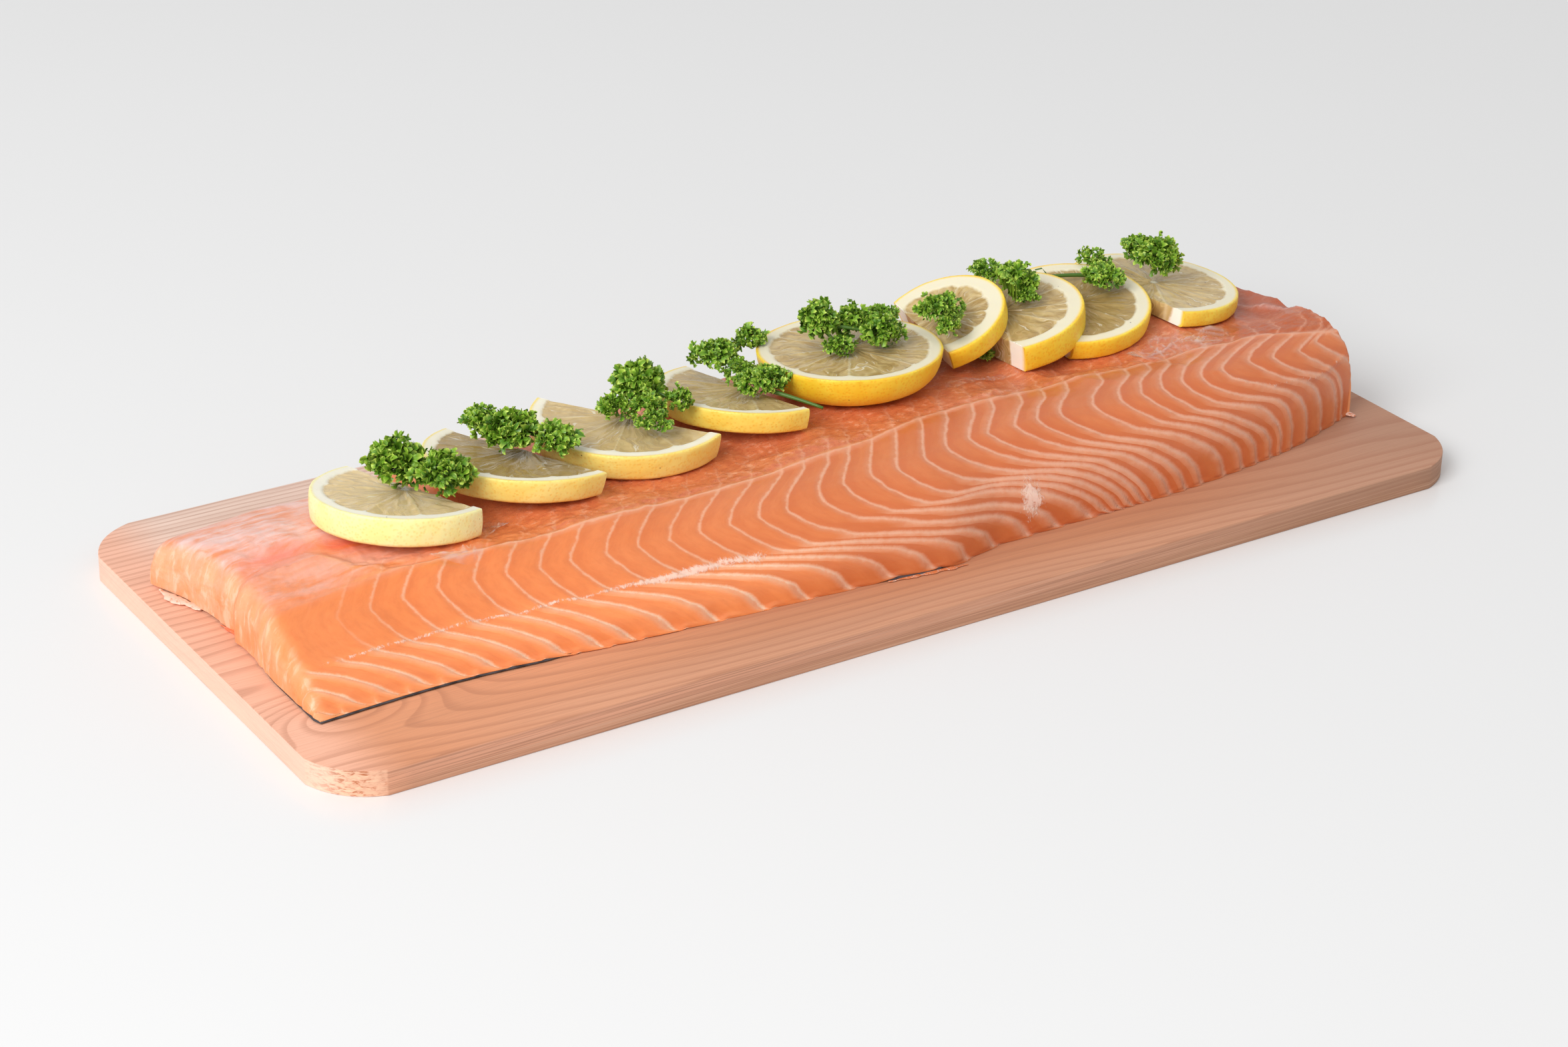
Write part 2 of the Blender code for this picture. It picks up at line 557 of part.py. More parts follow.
def add_parsley(collection, cutters, material):
    """One sprig on each piece of lemon, cut to clear that piece and the pieces beside it."""
    for number, (name, clumps) in enumerate(SPRIGS.items(), start=1):
        spec = SLICES.get(f"lemon_slice_{number}", LEMON_END)
        clearance = bpy.data.collections.new(name + "_clearance")
        cutters.children.link(clearance)
        add_floor_cutter(name + "_floor", spec, clearance)
        for step in (-1, 1):
            beside = cutters.objects.get(f"lemon_slice_{number + step}_room")
            if beside:
                clearance.objects.link(beside)
        add_sprig(name, clumps, number, collection, clearance, material)
        hide(clearance)


def hide(cutters):
    cutters.hide_render = True
    for obj in cutters.objects:
        obj.hide_render = True
        obj.display_type = "WIRE"


def main():
    for obj in list(bpy.data.objects):
        bpy.data.objects.remove(obj)
    parts = bpy.data.collections.new("cedar plank salmon")
    cutters = bpy.data.collections.new("cutters")
    bpy.context.scene.collection.children.link(parts)
    bpy.context.scene.collection.children.link(cutters)
    add_plank(parts, add_material("cedar", (0.52, 0.32, 0.22), 0.7))
    add_skin(parts, add_material("salmon skin", (0.05, 0.05, 0.055), 0.35))
    add_flesh(parts, add_material("raw salmon", (0.8, 0.24, 0.1), 0.35))
    add_film(parts, add_material("clear film", (0.9, 0.9, 0.9), 0.1, transmission=0.9))
    add_lemons(parts, cutters, add_material("lemon", (0.9, 0.62, 0.08), 0.4))
    bpy.context.view_layer.update()
    add_parsley(parts, cutters, add_material("parsley", (0.09, 0.26, 0.03), 0.5))
    hide(cutters)


main()
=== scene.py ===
# %% [markdown]
# # A cedar plank salmon
#
# This lesson dresses a side of raw salmon on a cedar grilling plank, topped with lemon and curly parsley.
# The plain solids come first, as a fixed frame: they carry the sizes and the weight. Every piece made
# here takes the place of one of them, at the same spot, and adds what the eye looks for: grain, fat
# lines, peel and frills. Lengths on the food are in millimetres. Blender's own data is in metres, and so
# are the table, the lamp and the camera. `MM` turns one into the other.

# %% Load the plain solids
import math

import bmesh
import bpy
import numpy as np
from mathutils import Matrix, Vector, noise


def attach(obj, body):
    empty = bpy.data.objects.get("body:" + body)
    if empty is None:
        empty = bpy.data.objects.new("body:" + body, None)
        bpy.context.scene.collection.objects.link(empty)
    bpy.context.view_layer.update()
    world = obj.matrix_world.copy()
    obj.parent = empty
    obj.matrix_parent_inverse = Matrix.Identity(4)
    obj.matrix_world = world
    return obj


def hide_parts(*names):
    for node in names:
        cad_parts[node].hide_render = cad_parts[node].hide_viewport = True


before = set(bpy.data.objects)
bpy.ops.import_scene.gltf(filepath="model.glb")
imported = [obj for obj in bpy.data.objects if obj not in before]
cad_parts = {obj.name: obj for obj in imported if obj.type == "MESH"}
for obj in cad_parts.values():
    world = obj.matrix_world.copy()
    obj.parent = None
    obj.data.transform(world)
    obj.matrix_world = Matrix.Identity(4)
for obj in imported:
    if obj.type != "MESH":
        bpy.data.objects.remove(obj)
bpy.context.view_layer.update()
MM = 0.001
GAP = 0.3

# %% [markdown]
# ## The viewpoint
#
# A long lens keeps the plank's edges nearly parallel, as in a packshot. The camera stands to the left of
# the middle and looks down by a little over a quarter of a right angle. Its turn is written as three
# plain angles, and the three directions of the camera are worked out from them.

# %% Camera
CAMERA_AT = Vector((-0.55141, -0.82709, 0.49077))
TURN, DOWN, ROLL = math.radians(-33.481), math.radians(26.388), math.radians(1.325)
LENS_MM = 80.57

back = Vector((math.sin(TURN) * math.cos(DOWN), -math.cos(TURN) * math.cos(DOWN), math.sin(DOWN)))
right = Vector((0, 0, 1)).cross(back).normalized()
up = back.cross(right)
rolled_right = math.cos(ROLL) * right + math.sin(ROLL) * up
rolled_up = math.cos(ROLL) * up - math.sin(ROLL) * right
camera = bpy.data.objects.new("camera", bpy.data.cameras.new("camera"))
camera.data.lens = LENS_MM
camera.data.sensor_width = 36
turned = Matrix((rolled_right, rolled_up, back)).transposed().to_4x4()
camera.matrix_world = Matrix.Translation(CAMERA_AT) @ turned
bpy.context.scene.collection.objects.link(camera)
bpy.context.scene.camera = camera
print("camera looks from", [round(value, 3) for value in camera.location])

# %% [markdown]
# ## Paint by nodes
#
# A material is a small graph of nodes. Written out in full, each node takes four or five lines. Two
# helper classes shorten that. `Finish` is one material's graph and adds one node per call. `Value` is a
# node's output that can stand in a sum, so `x * 0.5 + 1` adds the two math nodes by itself.


# %% Sums that add nodes
class Value:
    """A node's output. Each sign or call adds a node to the same graph and gives back its output."""

    def __init__(self, finish, socket):
        self.finish = finish
        self.socket = socket

    def work(self, kind, other=0.0):
        """Any other operation of the math node, by its name in Blender."""
        return self.finish.sum(kind, self, other)

    def __add__(self, other):
        return self.work("ADD", other)

    def __sub__(self, other):
        return self.work("SUBTRACT", other)

    def __rsub__(self, other):
        return self.finish.sum("SUBTRACT", other, self)

    def __mul__(self, other):
        return self.work("MULTIPLY", other)

    def __truediv__(self, other):
        return self.work("DIVIDE", other)

    def __pow__(self, other):
        return self.work("POWER", other)

    def __abs__(self):
        return self.work("ABSOLUTE")

    def rise(self, low, high):
        """0 below low, 1 above high, smooth between. With low above high it falls instead."""
        limits = (high, low, 1.0, 0.0) if low > high else (low, high, 0.0, 1.0)
        inputs = dict(enumerate((self, *limits)))
        return self.finish.node("ShaderNodeMapRange", inputs, interpolation_type="SMOOTHSTEP")

    def toward(self, other, weight):
        """This colour or number, moved toward another one by a weight from 0 to 1."""
        return self.finish.mix(weight, self, other)

    def between(self, first, second):
        """The first colour where this value is 0, the second where it is 1."""
        return self.finish.mix(self, first, second)

    def coats(self, *rows):
        """This colour under coats of others: each row is a colour and how much of it to lay on."""
        result = self
        for colour, weight in rows:
            result = result.toward(colour, weight)
        return result


# %% A material's graph
class Finish:
    """One material's graph. Each call adds a node and gives back its output."""

    def __init__(self, name):
        self.material = bpy.data.materials.new(name)
        self.material.use_nodes = True
        self.tree = self.material.node_tree

    def plug(self, value, socket):
        if isinstance(value, Value):
            self.tree.links.new(value.socket, socket)
        elif isinstance(value, tuple) and socket.type == "RGBA":
            socket.default_value = (*value, 1)
        else:
            socket.default_value = value

    def node(self, kind, inputs, output=0, **settings):
        """A node of one kind, with its settings, its inputs by name or number, and the output wanted."""
        node = self.tree.nodes.new(kind)
        for name, setting in settings.items():
            setattr(node, name, setting)
        for name, value in inputs.items():
            self.plug(value, node.inputs[name])
        return Value(self, node.outputs[output])

    def sum(self, kind, first, second=0.0):
        return self.node("ShaderNodeMath", {0: first, 1: second}, operation=kind)

    def mix(self, weight, first, second):
        return self.node("ShaderNodeMix", {"Factor": weight, 6: first, 7: second}, output=2, data_type="RGBA")

    def attribute(self, name, output="Fac"):
        return self.node("ShaderNodeAttribute", {}, output, attribute_name=name)

    def parts(self, vector):
        """The three numbers of a vector."""
        outputs = self.node("ShaderNodeSeparateXYZ", {0: vector}).socket.node.outputs
        return [Value(self, socket) for socket in outputs]

    def vector(self, x, y, z):
        return self.node("ShaderNodeCombineXYZ", {0: x, 1: y, 2: z})

    def place(self, stretch=1):
        """Where a point is on the object, in millimetres, squeezed or stretched alike or along each axis."""
        stretch = stretch if isinstance(stretch, tuple) else (stretch, stretch, stretch)
        where = self.node("ShaderNodeTexCoord", {}, output="Object")
        scale = tuple(value / MM for value in stretch)
        return self.node("ShaderNodeMapping", {"Vector": where, "Scale": scale})

    def noise(self, where, scale=1.0, detail=3.0, rough=0.5, bent=0.0):
        """Soft noise, read at a vector, or on the object with a stretch."""
        where = where if isinstance(where, Value) else self.place(where)
        inputs = {"Vector": where, "Scale": scale, "Detail": detail, "Roughness": rough, "Distortion": bent}
        return self.node("ShaderNodeTexNoise", inputs)

    def cells(self, where, scale):
        """The distance to the nearest of many scattered points."""
        return self.node("ShaderNodeTexVoronoi", {"Vector": where, "Scale": scale}, output="Distance")

    def bump(self, height, depth, strength):
        """A bump whose height runs from 0 to 1 over the given depth in millimetres."""
        return self.node("ShaderNodeBump", {"Height": height, "Distance": depth * MM, "Strength": strength})

    def set(self, **sockets):
        """Sets or links the shader's sockets, named with underscores for spaces."""
        for name, value in sockets.items():
            self.plug(value, self.tree.nodes["Principled BSDF"].inputs[name.replace("_", " ")])
        return self.material


# %% [markdown]
# ## Light and table
#
# The light is a high-key one: a broad soft lamp on the left and near side, a bright pale surround, and a
# white table that throws light back. The left end of the fish is then the brightest, and the peel that
# faces right falls into a deeper gold. The colours of the wood, the flesh and the peel add to this with
# painted light toward the lamp and painted shade away from it. A slightly glossy table mirrors the
# plank's lower edge. Blender's default view dulls the clear yellows and oranges of this food, so the
# plain "Standard" view is used.

# %% Table, lamp and surround
TABLE_GREY = 0.83
TABLE_REACH = 5
LAMP_AT = Vector((-2.0, -0.75, 1.7))
LAMP_SIZE = 1.5
LAMP_WATTS = 57
SURROUND = 0.62

table_mesh = bmesh.new()
bmesh.ops.create_grid(table_mesh, x_segments=2, y_segments=2, size=TABLE_REACH)
table = bpy.data.objects.new("table", bpy.data.meshes.new("table"))
table_mesh.to_mesh(table.data)
bpy.context.scene.collection.objects.link(table)
table.data.materials.append(Finish("white table").set(Base_Color=(TABLE_GREY,) * 3, Roughness=0.25))

lamp = bpy.data.objects.new("lamp", bpy.data.lights.new("lamp", "AREA"))
lamp.data.size = LAMP_SIZE
lamp.data.energy = LAMP_WATTS
lamp.location = LAMP_AT
lamp.rotation_euler = (-LAMP_AT).to_track_quat("-Z", "Y").to_euler()
bpy.context.scene.collection.objects.link(lamp)

surround = bpy.data.worlds.new("surround")
surround.use_nodes = True
surround.node_tree.nodes["Background"].inputs["Color"].default_value = (1, 1, 1, 1)
surround.node_tree.nodes["Background"].inputs["Strength"].default_value = SURROUND
bpy.context.scene.world = surround
bpy.context.scene.view_settings.view_transform = "Standard"
print(f"lamp {LAMP_AT.length:.2f} m away, {LAMP_SIZE} m across")

# %% [markdown]
# ## Smooth curves and grids
#
# A few helpers serve every piece. Some shape numbers: a smooth curve through set points, a soft step, a
# bell, a quarter circle and soft random ripples. The others turn rows of points into faces, and points
# and faces into a mesh that takes its place on the plank.


# %% Curves and steps
def smooth_through(points, at):
    """A smooth curve through set points that never swings past them."""
    x, y = np.array(points, float).T
    step = np.diff(x)
    rise = np.diff(y) / step
    slope = np.concatenate([rise[:1], np.zeros(len(x) - 2), rise[-1:]])
    together = rise[:-1] * rise[1:] > 0
    mean = 2 * rise[:-1] * rise[1:] / np.where(together, rise[:-1] + rise[1:], 1)
    slope[1:-1] = np.where(together, mean, 0)
    at = np.clip(at, x[0], x[-1])
    i = np.clip(np.searchsorted(x, at) - 1, 0, len(step) - 1)
    t = (at - x[i]) / step[i]
    start = (1 + 2 * t) * (1 - t) ** 2 * y[i] + t * (1 - t) ** 2 * step[i] * slope[i]
    end = t * t * (3 - 2 * t) * y[i + 1] + t * t * (t - 1) * step[i] * slope[i + 1]
    return start + end


def ease(low, high, value):
    """0 below low, 1 above high, and a smooth rise between them. With low above high it falls."""
    t = np.clip((value - low) / (high - low), 0, 1)
    return t * t * (3 - 2 * t)


def bell(away, width):
    """1 where away is 0, and a smooth fall to either side."""
    return np.exp(-((away / width) ** 2))


def quarter_round(share):
    """1 at share 0 and 0 at share 1, along a quarter of a circle."""
    return 1 - np.sqrt(1 - np.clip(1 - share, 0, 1) ** 2)


def unit(vectors):
    return vectors / np.linalg.norm(vectors, axis=-1, keepdims=True)


def outward_of(loop):
    """Arrows of length 1 that point out of a counterclockwise loop of points."""
    along = np.roll(loop, -1, axis=0) - np.roll(loop, 1, axis=0)
    return unit(np.stack([along[:, 1], -along[:, 0]], axis=1))


def ripples(points, scale, seed):
    """Soft random ripples, between about -1 and 1. The scale says how many fit in a metre."""
    flat = np.asarray(points, float).reshape(-1, 3) * (scale * MM) + seed * 17.3
    return np.array([noise.noise(point) for point in flat.tolist()]).reshape(np.shape(points)[:-1])


print("a step halfway up is", float(ease(0, 1, 0.5)))


# %% Faces and pieces
def grid_faces(columns, rows, ring=False):
    """The four-sided faces of a grid of points, numbered row by row within each column."""
    number = np.arange(columns * rows).reshape(columns, rows)
    if ring:
        number = np.concatenate([number, number[:1]])
    here, after = number[:-1], number[1:]
    return np.stack([here[:, :-1], after[:, :-1], after[:, 1:], here[:, 1:]], axis=2).reshape(-1, 4).tolist()


def stack_faces(turns, rings):
    """The faces of a stack of rings, closed by one big face on top and one underneath."""
    number = np.arange(turns * rings).reshape(turns, rings)
    return [*grid_faces(turns, rings, ring=True), number[:, -1].tolist(), number[::-1, 0].tolist()]


def hose_faces(rings, sides):
    """The faces of a hose made of rings of points, with both its ends closed."""
    here = np.arange(rings * sides).reshape(rings, sides)
    after = np.roll(here, -1, axis=1)
    walls = np.stack([here[:-1], after[:-1], after[1:], here[1:]], axis=2).reshape(-1, 4).tolist()
    return [*walls, here[0, ::-1].tolist(), here[-1].tolist()]


def shifted(faces, count):
    """The same faces for points that come after count others."""
    return [[count + index for index in face] for face in faces]


def mesh_of(name, points, faces):
    mesh = bpy.data.meshes.new(name)
    mesh.from_pydata((np.reshape(points, (-1, 3)) * MM).tolist(), [], faces)
    mesh.update()
    return mesh


def set_down(name, mesh, material, values, sharp=None, at=Matrix()):
    """A piece that rides on the one body, with its finish and the values that the finish reads."""
    mesh.materials.append(material)
    mesh.shade_smooth()
    if sharp:
        mesh.set_sharp_from_angle(angle=math.radians(sharp))
    for label, numbers in values.items():
        numbers = np.asarray(numbers, np.float32)
        kind, field = ("FLOAT", "value") if numbers.ndim == 1 else ("FLOAT_VECTOR", "vector")
        mesh.attributes.new(label, kind, "POINT").data.foreach_set(field, numbers.ravel())
    piece = bpy.data.objects.new(name, mesh)
    bpy.context.scene.collection.objects.link(piece)
    piece.matrix_world = at
    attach(piece, "root")
    print(f"{name}: {len(mesh.polygons)} faces")
    return piece


print(len(grid_faces(3, 3)), "faces between three columns of three points")

# %% [markdown]
# ## The cedar plank
#
# The plank is sawn from one board, and its corners are cut back along bowed lines. The plain solid
# already has that outline, but its edges are razor sharp. Here the outline is drawn with more points, and
# rings of it are stacked up the side with a small rounding at the top and bottom. A bevel would round the
# plain solid too, but rings also leave rows of points on the side to roughen. The corner nearest the
# viewer was cut across the grain with a coarse blade, so its face gets torn, fibrous relief.

# %% Plank outline
PLANK_LENGTH = 410
PLANK_WIDTH = 174
PLANK_THICKNESS = 8.2
CORNER_CUT = 17
CORNER_BULGE = 3.2
EDGE_ROUNDING = 0.35
CORNER_STEPS = 44
SIDE_STEPS = (50, 24)
TORN_CORNER = 2

corner_t = np.linspace(0, 1, CORNER_STEPS + 1)[:, None]
corners = []
for turn, sign in enumerate(np.array([(1, 1), (-1, 1), (-1, -1), (1, -1)])):
    corner = sign * (PLANK_LENGTH / 2, PLANK_WIDTH / 2)
    ends = [corner - sign * (0, CORNER_CUT), corner - sign * (CORNER_CUT, 0)]
    start, end = ends[::-1] if turn % 2 else ends
    bulge = sign / math.sqrt(2) * CORNER_BULGE * 4 * corner_t * (1 - corner_t)
    corners.append(start * (1 - corner_t) + end * corner_t + bulge)
outline, in_corner = [], []
for turn, corner in enumerate(corners):
    side_t = np.linspace(0, 1, SIDE_STEPS[turn % 2] + 1)[1:-1, None]
    outline += [corner, corner[-1] * (1 - side_t) + corners[(turn + 1) % 4][0] * side_t]
    in_corner += [np.sin(np.pi * corner_t[:, 0]) ** 0.3 * (turn == TORN_CORNER), 0 * side_t[:, 0]]
outline, in_corner = np.concatenate(outline), np.concatenate(in_corner)
outward = outward_of(outline)
print(f"{len(outline)} points round the plank")

# %% Plank mesh
wall_z = np.concatenate([[0, 0.12, EDGE_ROUNDING], np.linspace(0.9, 7.3, 14),
                         PLANK_THICKNESS - np.array([EDGE_ROUNDING, 0.12, 0])])
from_edge = np.minimum(wall_z, PLANK_THICKNESS - wall_z)
inset = EDGE_ROUNDING * quarter_round(from_edge / EDGE_ROUNDING)
ring_points = np.zeros((len(outline), len(wall_z), 3))
ring_points[:, :, :2] = outline[:, None] - outward[:, None] * inset[None, :, None]
ring_points[:, :, 2] = wall_z
torn = ripples(ring_points * (0.5, 0.5, 1.4), 900, 3) + 0.5 * ripples(ring_points, 2400, 4)
torn_depth = (0.32 * torn + 0.28) * in_corner[:, None] * np.clip(from_edge / 0.6, 0, 1)
ring_points[:, :, :2] -= outward[:, None] * np.clip(torn_depth, 0, None)[:, :, None]
plank_mesh = mesh_of("plank", ring_points, stack_faces(len(outline), len(wall_z)))
print(f"torn corner is up to {torn_depth.max():.2f} mm deep")

# %% [markdown]
# ### Cedar
#
# Cedar is a soft reddish wood with narrow growth rings. A flat texture would not join up at the corners,
# so the grain is worked out in space: the board is imagined inside its tree, and the distance from the
# tree's middle line gives the rings. The same rule then draws long lines on top, close lines on the side
# and arcs on the end, and a swirl bends them near one corner. The colour is built up in coats, each with
# its own weight. The coats for end grain and torn fibres are held to the side faces, because the top is
# one big face that would smear them.

# %% Rings in the wood
TREE_ASIDE, TREE_BELOW, TREE_LEAN = 38, 62, 0.03
SWIRL_AT, SWIRL_BEND = (-181, -52), 13
RING_SPACING = 2.1
BROAD_SPACING = 9.7

cedar = Finish("cedar")
x, y, z = cedar.parts(cedar.place())
swirl_x = (x - SWIRL_AT[0]) * 0.035
swirl_y = (y - SWIRL_AT[1]) * 0.075
swirl = cedar.sum("POWER", 2.718, (swirl_x * swirl_x + swirl_y * swirl_y) * -1) * SWIRL_BEND
across = x * TREE_LEAN + TREE_ASIDE + y
height = x * -TREE_LEAN + TREE_BELOW + z
drift = cedar.noise((0.006, 0.02, 0.02), detail=2)
from_pith = (across * across + height * height) ** 0.5 + swirl + drift * 9
ring = (from_pith / RING_SPACING).work("FRACT")
late_wood = ring.rise(0.45, 0.9) * ring.rise(1.0, 0.92)
broad = abs((from_pith / BROAD_SPACING).work("FRACT") - 0.5).rise(0.1, 0.5)
fibre = cedar.noise((0.02, 2.2, 2.2), detail=4, rough=0.6)
pores = cedar.noise((0.12, 5, 5), detail=2)
patch = cedar.noise((0.012, 0.035, 0.035), detail=2)
thin_lines = cedar.noise((0.012, 0.06, 2.6), rough=0.6)
print(f"growth rings {RING_SPACING} mm apart")

# %% Cedar colours
left_end = x.rise(-178, -200)
# Painted light and shade on the top: paler toward the lamp at the left end and on that end itself, darker
# toward the right end, and a paler front strip that leaves the wood beside the fish in painted shade.
top_wood = patch.between((0.62, 0.275, 0.148), (0.56, 0.230, 0.114)).coats(
    ((0.735, 0.315, 0.165), x.rise(-50, -125)),
    ((0.70, 0.37, 0.235), y.rise(-68, -84) * x.rise(-180, -120) * 0.5),
    ((0.51, 0.285, 0.190), x.rise(70, 190) * 0.8),
    ((0.88, 0.69, 0.59), y.rise(30, 75) * x.rise(20, -120) * 0.85),
    ((0.88, 0.47, 0.33), left_end * 0.9))
# The sides are painted paler at the left and darker to the right and toward the foot: painted light and
# shade.
side_wood = x.rise(-200, 0).between((0.86, 0.41, 0.255), (0.70, 0.345, 0.215)).coats(
    ((0.42, 0.225, 0.140), x.rise(20, 200)),
    ((0.42, 0.225, 0.125), z.rise(5.5, 1.0) * 0.45))
low_edge = z.rise(7.9, 7.5)
side_face = z.rise(8.15, 7.95)
torn_grain = cedar.attribute("torn") * side_face
split = cedar.noise((0.38, 0.38, 1.3), detail=5, rough=0.6, bent=0.7)
cracked = (x.rise(-188, -203) * 0.05 + 0.43 - split).rise(0, 0.08)
# End grain, painted paler at the left end than at the right: painted light on the end that faces the lamp.
end_grain_lit_left = left_end.between((0.80, 0.47, 0.30), (0.95, 0.655, 0.515))
wood = top_wood.coats(
    (side_wood, low_edge * (1 - left_end)),
    ((0.38, 0.145, 0.078), late_wood * (low_edge * -0.26 + 0.36)),
    ((0.42, 0.19, 0.11), broad * 0.12),
    ((0.33, 0.155, 0.09), low_edge * thin_lines.rise(0.50, 0.62) * 0.5),
    ((0.80, 0.50, 0.35), low_edge * thin_lines.rise(0.46, 0.36) * 0.35),
    ((0.38, 0.175, 0.105), fibre.rise(0.4, 0.75) * 0.36),
    ((0.30, 0.13, 0.07), pores.rise(0.66, 0.74) * 0.45),
    ((0.84, 0.45, 0.30), torn_grain * 0.7),
    ((0.92, 0.55, 0.36), torn_grain * split.rise(0.40, 0.60)),
    ((0.52, 0.16, 0.06), torn_grain * cracked),
    (end_grain_lit_left, cedar.attribute("end grain") * side_face * (left_end * 0.2 + 0.4)))
cedar_material = cedar.set(Base_Color=wood, Roughness=0.62, Specular_IOR_Level=0.35,
                           Normal=cedar.bump(fibre * 0.7 + late_wood * 0.3, 0.12, 0.5))
end_grain = ease(0.6, 0.95, np.abs(outward[:, 0]))
plank_values = {"torn": np.repeat(in_corner, len(wall_z)), "end grain": np.repeat(end_grain, len(wall_z))}
plank = set_down("plank", plank_mesh, cedar_material, plank_values, sharp=35)
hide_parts("cedar_plank")

# %% [markdown]
# ## The fillet's form
#
# The fish is one long loaf: thin at its left end, half as thick again at the right, steep on the near
# side where the belly was trimmed, and pressed flat under every piece of lemon. The solid was made from
# the same rules, written here again so that a much finer skin of points can follow them: the near and far
# edges, the rounded dome between them, the groove along the spine, and the bed that the lemon lies in.
# The form could also be sculpted by hand, but then no size in it could be read or changed.

# %% Nine pieces of lemon and the fillet's edges
LEMONS = {
    1: dict(at=(-131.5, 11.5, 28), slope=(-0.10, -0.10), radius=28.4, thick=8.7, taper=0.4, angle=108,
            cut=3.4, keep="left", pith=3.1, pale=1.0, depth=0),
    2: dict(at=(-87, 17.7, 29.2), slope=(-0.10, -0.10), radius=32, thick=7.6, taper=1.9, angle=111, cut=-1.2,
            keep="left", pith=3.0, pale=0.72, depth=1.0),
    3: dict(at=(-49, 20, 30.7), slope=(0, 0), radius=31.5, thick=8.5, taper=1.6, angle=124, cut=-1.2,
            keep="left", pith=3.0, pale=0.68, depth=0.25),
    4: dict(at=(-7.6, 18.6, 32.2), slope=(-0.10, -0.10), radius=29, thick=6.9, taper=1.1, angle=100, cut=0,
            keep="left", pith=2.6, pale=0.5, depth=0.35),
    5: dict(at=(30.2, 16.1, 33.4), slope=(0, -0.06), radius=29.9, thick=12, pith=3.2, pale=0.12, depth=0),
    6: dict(at=(71.5, 20.7, 39.6), slope=(0.42, 0), radius=21.5, thick=7.6, taper=1.4, angle=81, cut=-7.7,
            keep="right", pith=4.6, pale=0, depth=0),
    7: dict(at=(92.4, 17.1, 35.9), slope=(0.20, 0), radius=26.8, thick=9.4, taper=0.7, angle=95, cut=-11.5,
            keep="right", pith=4.2, pale=0.1, depth=0),
    8: dict(at=(117.8, 15, 36.6), slope=(0.10, 0.10), radius=26.1, thick=7, taper=1, angle=92, cut=-16,
            keep="right", pith=3.7, pale=0.12, depth=0.9),
    9: dict(at=(153.3, 17.5, 36.4), slope=(-0.10, 0), radius=28.8, thick=5.6, taper=0.4, angle=97, cut=-12,
            keep="right", pith=3.3, pale=0.3, depth=0),
}
NEAR_EDGE = [(-200, -56), (-155, -54), (-90, -59), (-15, -64), (12, -66.5),
             (37, -62), (100, -61), (150, -55.5), (192, -43)]
FAR_EDGE = [(-200, 43), (-165, 50), (0, 54), (130, 50), (192, 36)]
LEFT_END_BOW = [(-60, 0), (-30, 0), (3, 2.5), (28, 0), (45, -5.5)]
FILLET_LEFT = -193
FILLET_RIGHT = 190
THIN_END_HEIGHT = 19.5
THICK_END_HEIGHT = 30
SKIN_THICKNESS = 1
THINNEST_FLESH = 1.6
FILM_NEAR = [(-158, 20), (-150, 0), (-138, -16), (-127, -23), (-117, -12), (-95, -6), (20, -4), (60, -7),
             (100, -3), (117, -8), (127, -28), (143, -28), (158, -15), (172, 12)]
FILM_FAR = 36
FILM_ROOM = 0.5
STANDS_CLEAR = 6
BED_MARGIN = 4
BED_BLEND = 22
BED_DOWN = 3.6
BED_UP = 1.7
NEAR_ROUNDING = 36
NEAR_ROUNDING_LOSS = 8
FAR_ROUNDING = 55
GROOVE_DEPTH, GROOVE_WIDTH = 2.5, 4
BROAD_GROOVE_DEPTH, BROAD_GROOVE_WIDTH = 1.2, 16

print(f"{len(LEMONS)} pieces of lemon in a row")


# %% Where a slice lies
def slice_plane(spec, x, y):
    """The height of the plane that a slice lies on."""
    x0, y0, z0 = spec["at"]
    return z0 + spec["slope"][0] * (x - x0) + spec["slope"][1] * (y - y0)


def outside_slice(spec, x, y):
    """How far a point lies outside a slice's outline, seen from above: negative or 0 under the slice."""
    x0, y0, _ = spec["at"]
    outside = np.hypot(x - x0, y - y0) - spec["radius"]
    if "cut" in spec:
        angle = math.radians(spec["angle"])
        beyond = (x - x0) * math.sin(angle) - (y - y0) * math.cos(angle) - spec["cut"]
        outside = np.maximum(outside, beyond if spec["keep"] == "left" else -beyond)
    return outside


print("the end piece reaches", -outside_slice(LEMONS[5], *LEMONS[5]["at"][:2]), "mm from its middle")


# %% Height rules
def rightward(x):
    """0 at the fillet's left end, 1 at its right end."""
    return np.clip((x - FILLET_LEFT) / (FILLET_RIGHT - FILLET_LEFT), 0, 1)


def dome_height(x, y):
    """The fillet's plain rounded form over the plank, higher toward the right end."""
    crown = THIN_END_HEIGHT + (THICK_END_HEIGHT - THIN_END_HEIGHT) * ease(-200, 170, x)
    near_width = NEAR_ROUNDING - NEAR_ROUNDING_LOSS * rightward(x)
    near_power = 1.25 + 2.4 * rightward(x) ** 1.2
    from_near = np.clip(1 - (y - smooth_through(NEAR_EDGE, x)) / near_width, 0, 1)
    from_far = np.clip(1 - (smooth_through(FAR_EDGE, x) - y) / FAR_ROUNDING, 0, 1)
    near_rise = (1 - from_near ** near_power) ** (1 / near_power)
    far_rise = 0.6 + 0.4 * (1 - from_far ** 2.2) ** (1 / 2.2)
    left_rounding = 1 - 0.12 * np.exp(-np.clip(x - FILLET_LEFT, 0, None) / 2.5)
    return crown * near_rise * far_rise * left_rounding


def under_film(x, y):
    """1 where film or lemon lies on the flesh, easing to 0 past their edges."""
    ends = np.maximum(FILM_NEAR[0][0] - x, x - FILM_NEAR[-1][0])
    outside = np.maximum(np.maximum(smooth_through(FILM_NEAR, x) - y, y - FILM_FAR), ends)
    for spec in LEMONS.values():
        outside = np.minimum(outside, np.maximum(outside_slice(spec, x, y), y - FILM_FAR))
    return 1 - ease(3, 9, outside)


def spine_at(x):
    """Where the groove over the spine runs."""
    return -1 - 10 * rightward(x)


